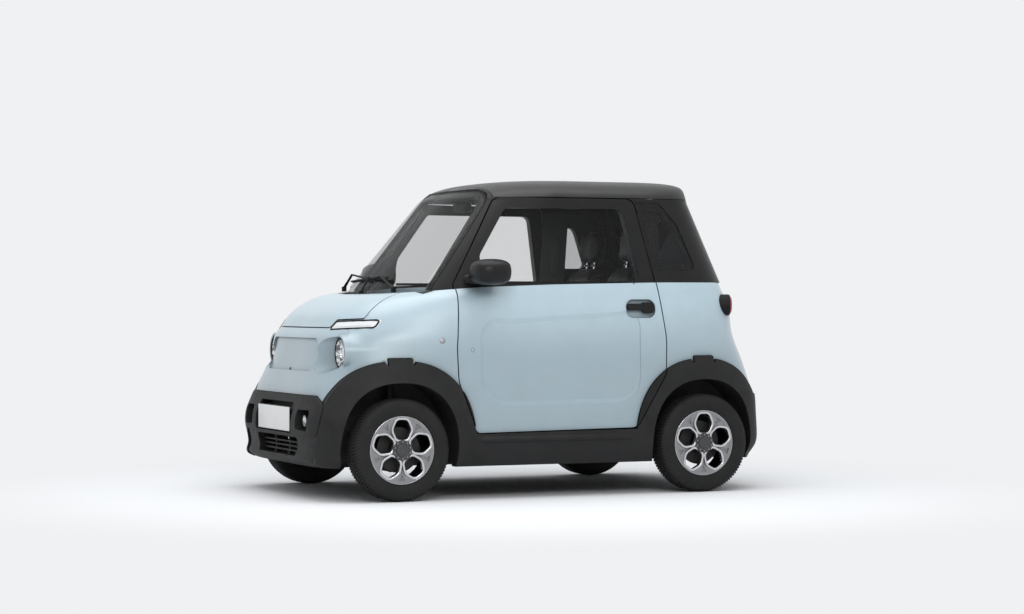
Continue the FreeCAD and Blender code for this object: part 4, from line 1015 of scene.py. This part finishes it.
hood = placed(swollen((0.085, 0.135, 0.05), 2.6), at(0.49, SEAT_Y, 0.99))
screen = block((0.006, 0.15, 0.05), 0.002, 2, at(0.4, SEAT_Y, 1.0) @ spun(-18, "Y"))
vents = [placed(turned([(0.0, 0.036), (0.006, 0.036), (0.008, 0.032), (0.003, 0.029),
    (0.003, 0.004), (0.006, 0.0005)], 40, False), along((-1, 0, 0), (0.4, y, 0.925)))
    for y in (-0.5, -0.02, 0.11, 0.5)]
glove = block((0.01, 0.4, 0.16), 0.006, 3, at(0.4, -0.27, 0.82))
add("dash_hood", [hood], INTERIOR)
add("dash_screen", [screen], DARK)
add("dash_fittings", vents + [glove], DARK)
rear_view = [placed(swollen((0.016, 0.105, 0.03), 3.0), at(0.22, 0, 1.482)),
    tube([(0.223, 0, 1.487), (0.244, 0, 1.505), (0.256, 0, 1.515)], 0.007, 12)]
add("rear_view_mirror", rear_view, DARK)
glass_face = block((0.002, 0.196, 0.048), 0.0006, 1, at(0.204, 0, 1.482))
add("rear_view_glass", [glass_face], MIRROR)
for side, across in LEFT_RIGHT:
    pillar = [block((0.15, 0.016, 0.4), 0.007, 3, at(-0.578, across * 0.575,
        1.285) @ spun(across * 9, "X")), block((0.33, 0.016, 0.08), 0.007, 3,
        at(-0.66, across * 0.556, 1.435) @ spun(across * 12, "X")), block((0.055, 0.018, 0.2),
        0.008, 3, at(-0.585, across * 0.57, 1.235) @ spun(across * 9, "X")),
        block((0.034, 0.02, 0.044), 0.008, 3, at(-0.585, across * 0.556, 1.32))]
    add("pillar_lining_" + side, pillar, INTERIOR)


# Door mirrors

def mirror(side, across):
    body = "door_assembly_" + side
    place = at(0.385, across * 0.782, 1.131) @ spun(across * 8, "Z")
    points, faces = swollen((0.1, 0.098, 0.065), 2.7, 33, 64, -0.072)
    sunk = []
    for x, y, z in points:
        seam = 0.986 if abs(z) < 0.0016 else 1.0
        sunk.append((x * seam, y * seam, z))
    arm = [tube([(0.44, across * 0.655, 1.096), (0.432, across * 0.69, 1.092),
        (0.42, across * 0.715, 1.098), (0.405, across * 0.745, 1.112)], 0.028, 20, 0.8),
        placed(swollen((0.05, 0.022, 0.024), 2.6, 14, 32), at(0.432, across * 0.664, 1.098))]
    item = add("mirror_housing_" + side, [placed((sunk, faces), place)] + arm, TRIM,
        body, 40)
    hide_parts("mirror_" + side)
    pane = swollen((0.0035, 0.078, 0.048), 3.0, 14, 48)
    add("mirror_pane_" + side, [placed(pane, place @ at(-0.0712, 0, 0))], MIRROR, body)


for side, across in LEFT_RIGHT:
    mirror(side, across)


# Rear plate

rear_skin = tree_of("rear_panel", "rear_bumper", "hatch_panel")
rear_hit = rear_skin.ray_cast(Vector((-2, 0.15, 0.6)), Vector((1, 0, 0)))
plate("rear_plate", rear_hit[0].x - 0.006, 0.6, -1)


# Fairings: the lamp pods drawn out into the fenders, as a skin stretched over both

FAIRING_U = (-0.215, 0.15)
FAIRING_V = (-0.095, 0.11)
FAIRING_STEP = 0.005
FAIRING_FADE = 0.055


def fairing(side, across):
    skin = tree_of("fenders", "front_fascia")
    facing = Vector((0.42, across * 0.907, 0)).normalized()
    ahead = Vector((0.907, -across * 0.42, 0)).normalized()
    centre = Vector((0.93, across * 0.56, 0.728))
    columns = int((FAIRING_U[1] - FAIRING_U[0]) / FAIRING_STEP) + 1
    rows = int((FAIRING_V[1] - FAIRING_V[0]) / FAIRING_STEP) + 1
    place, base, window = {}, {}, {}
    for column in range(columns):
        for row in range(rows):
            u = FAIRING_U[0] + column * FAIRING_STEP
            v = FAIRING_V[0] + row * FAIRING_STEP
            spot = centre + ahead * u + Vector((0, 0, v))
            hit = skin.ray_cast(spot + facing * 0.5, -facing)
            if hit[0] is None or hit[0].x > 1.066 or hit[0].y * across < 0.53:
                continue
            place[column, row], base[column, row] = spot, 0.5 - hit[3]
            edge = min(u - FAIRING_U[0], v - FAIRING_V[0], FAIRING_V[1] - v) / FAIRING_FADE
            edge = max(0.0, min(1.0, edge))
            window[column, row] = edge ** 2 * (3 - 2 * edge)
    film = dict(base)
    for sweep in range(260):
        fresh = {}
        for (column, row), height in film.items():
            beside = [film[key] for key in ((column - 1, row), (column + 1, row),
                (column, row - 1), (column, row + 1)) if key in film]
            flat = sum(beside) / len(beside) if len(beside) == 4 else height
            fresh[column, row] = max(base[column, row], height + (flat - height) * window[column,
                row])
        film = fresh
    index, points = {}, []
    for key, height in sorted(film.items()):
        index[key] = len(points)
        points.append(place[key] + facing * (height + 0.0005))
    faces = []
    for column, row in index:
        corners = ((column, row), (column + 1, row), (column + 1, row + 1), (column, row + 1))
        if all(key in index for key in corners):
            face = tuple(index[key] for key in corners)
            faces.append(face if across < 0 else tuple(reversed(face)))
    add("lamp_fairing_" + side, [(points, faces)], PAINT, angle=60)


for side, across in LEFT_RIGHT:
    fairing(side, across)


# Waist seals and the third wiper pivot

for side, across in LEFT_RIGHT:
    waist_skin = tree_of("door_" + side, "door_trim_" + side, "door_glass_" + side)
    waist = laid_line(waist_skin, [(-0.455, across, 1.08), (0.36, across, 1.08)], (0, -across, 0),
        40)
    add("waist_seal_" + side, [strip(waist, 0.014, 0.0025, False)], DARK,
        "door_assembly_" + side)
stem = [tube([(0.78, -0.008, 1.012), (0.78, -0.008, 1.04)], 0.014, 20),
    tube([(0.78, -0.008, 1.034), on_glass(-0.012, 1.08, 0.014), on_glass(-0.015, 1.1, 0.016)],
    0.0075, 10, 0.7)]
add("wiper_middle", stem, DARK)


# Soft filler in the seams between bonnet and fenders

bonnet_skin = tree_of("bonnet")
for side, across in LEFT_RIGHT:
    seam = []
    for step in range(40):
        x = 0.742 + 0.006 * step
        hit = bonnet_skin.ray_cast(Vector((x, across * 0.546, 2)), Vector((0, 0, -1)))
        if hit[0] is not None and (not seam or abs(hit[0].z - seam[-1].z) < 0.02):
            seam.append(Vector((x, across * 0.553, hit[0].z - 0.002)))
    if len(seam) > 3:
        add("bonnet_filler_" + side, [tube(seam, 0.0034, 8)], PAINT)


# Rounded step along each sill

for side, across in LEFT_RIGHT:
    step_line = [(x, across * (0.722 if abs(x) < 0.42 else 0.7), 0.298) for x in (-0.46, -0.43,
        -0.41, 0.0, 0.41, 0.43, 0.46)]
    add("sill_step_" + side, [tube(step_line, 0.034, 24, 0.72)], CLAD, angle=60)


# Studio

def studio():
    size = 60.0
    corners = [(-size, -size, 0), (size, -size, 0), (size, size, 0), (-size, size, 0)]
    mesh = shape("floor", [(corners, [(0, 1, 2, 3)])])
    linked("floor", mesh)
    material, tree, shader = new_material("floor_pale")
    fill(tree, shader, {"Base Color": (0.8, 0.81, 0.825, 1.0), "Roughness": 1.0,
        "Specular IOR Level": 0.0})
    glow = new_node(tree, "Emission", {"Color": BACKDROP})
    reach = new_node(tree, "VectorMath", {0: object_place(tree)}, operation="LENGTH")
    far = spread(tree, reach.outputs["Value"], 0.0, 1.0, 1.6, 3.4, interpolation_type="SMOOTHSTEP")
    mix = new_node(tree, "MixShader", {0: far, 1: shader.outputs[0], 2: glow.outputs[0]})
    tree.links.new(mix.outputs[0], tree.nodes["Material Output"].inputs[0])
    mesh.materials.append(material)

    world = bpy.data.worlds.new("studio")
    bpy.context.scene.world = world
    world.use_nodes = True
    tree = world.node_tree
    tree.nodes.clear()
    seen = new_node(tree, "Background", {0: BACKDROP})
    height = part_of(tree, new_node(tree, "TexCoord").outputs["Generated"], "Z")
    light = new_node(tree, "Background", {0: (0.97, 0.985, 1.0, 1.0), 1: spread(tree, height, 0.38,
        0.98)})
    rays = new_node(tree, "LightPath").outputs
    either = rays["Is Camera Ray"]
    for ray in ("Is Glossy Ray", "Is Transmission Ray"):
        either = calculate(tree, "MAXIMUM", either, rays[ray])
    mix = new_node(tree, "MixShader", {0: either, 1: light.outputs[0], 2: seen.outputs[0]})
    new_node(tree, "OutputWorld", {0: mix.outputs[0]})


def aim(item, place, backward):
    """Puts a lamp or camera in its place, with its back to a direction."""
    item.location = place
    item.rotation_mode = "QUATERNION"
    item.rotation_quaternion = (-backward).to_track_quat("-Z", "Y")


def lamp(name, place, target, power, width, depth):
    data = bpy.data.lights.new(name, "AREA")
    data.shape = "RECTANGLE"
    data.size, data.size_y = width, depth
    data.energy = power
    item = linked(name, data)
    aim(item, place, Vector(place) - Vector(target))
    return item


studio()
lamp("overhead", (0.4, 0.6, 4.6), (0, 0, 0.6), 115, 5.0, 3.6)
lamp("side_key", (2.2, 6.5, 3.6), (0.2, 0, 0.9), 130, 5.0, 1.6)
cabin = lamp("cabin_fill", (-0.1, 0.05, 1.43), (-0.1, 0.05, 0.9), 9, 0.5, 0.6)
cabin.visible_camera = cabin.visible_glossy = False

camera_data = bpy.data.cameras.new("photo_camera")
camera_data.lens = 86.604
camera_data.sensor_width = 36.0
camera_data.clip_end = 200.0
camera = linked("photo_camera", camera_data)
turn, rise = math.radians(23.536), math.radians(0.1015)
level = math.cos(rise)
aim(camera, (5.16634, 12.0243, 0.97919), Vector((math.sin(turn) * level, math.cos(turn) * level,
    math.sin(rise))))
bpy.context.scene.camera = camera
bpy.context.scene.view_settings.view_transform = "Standard"
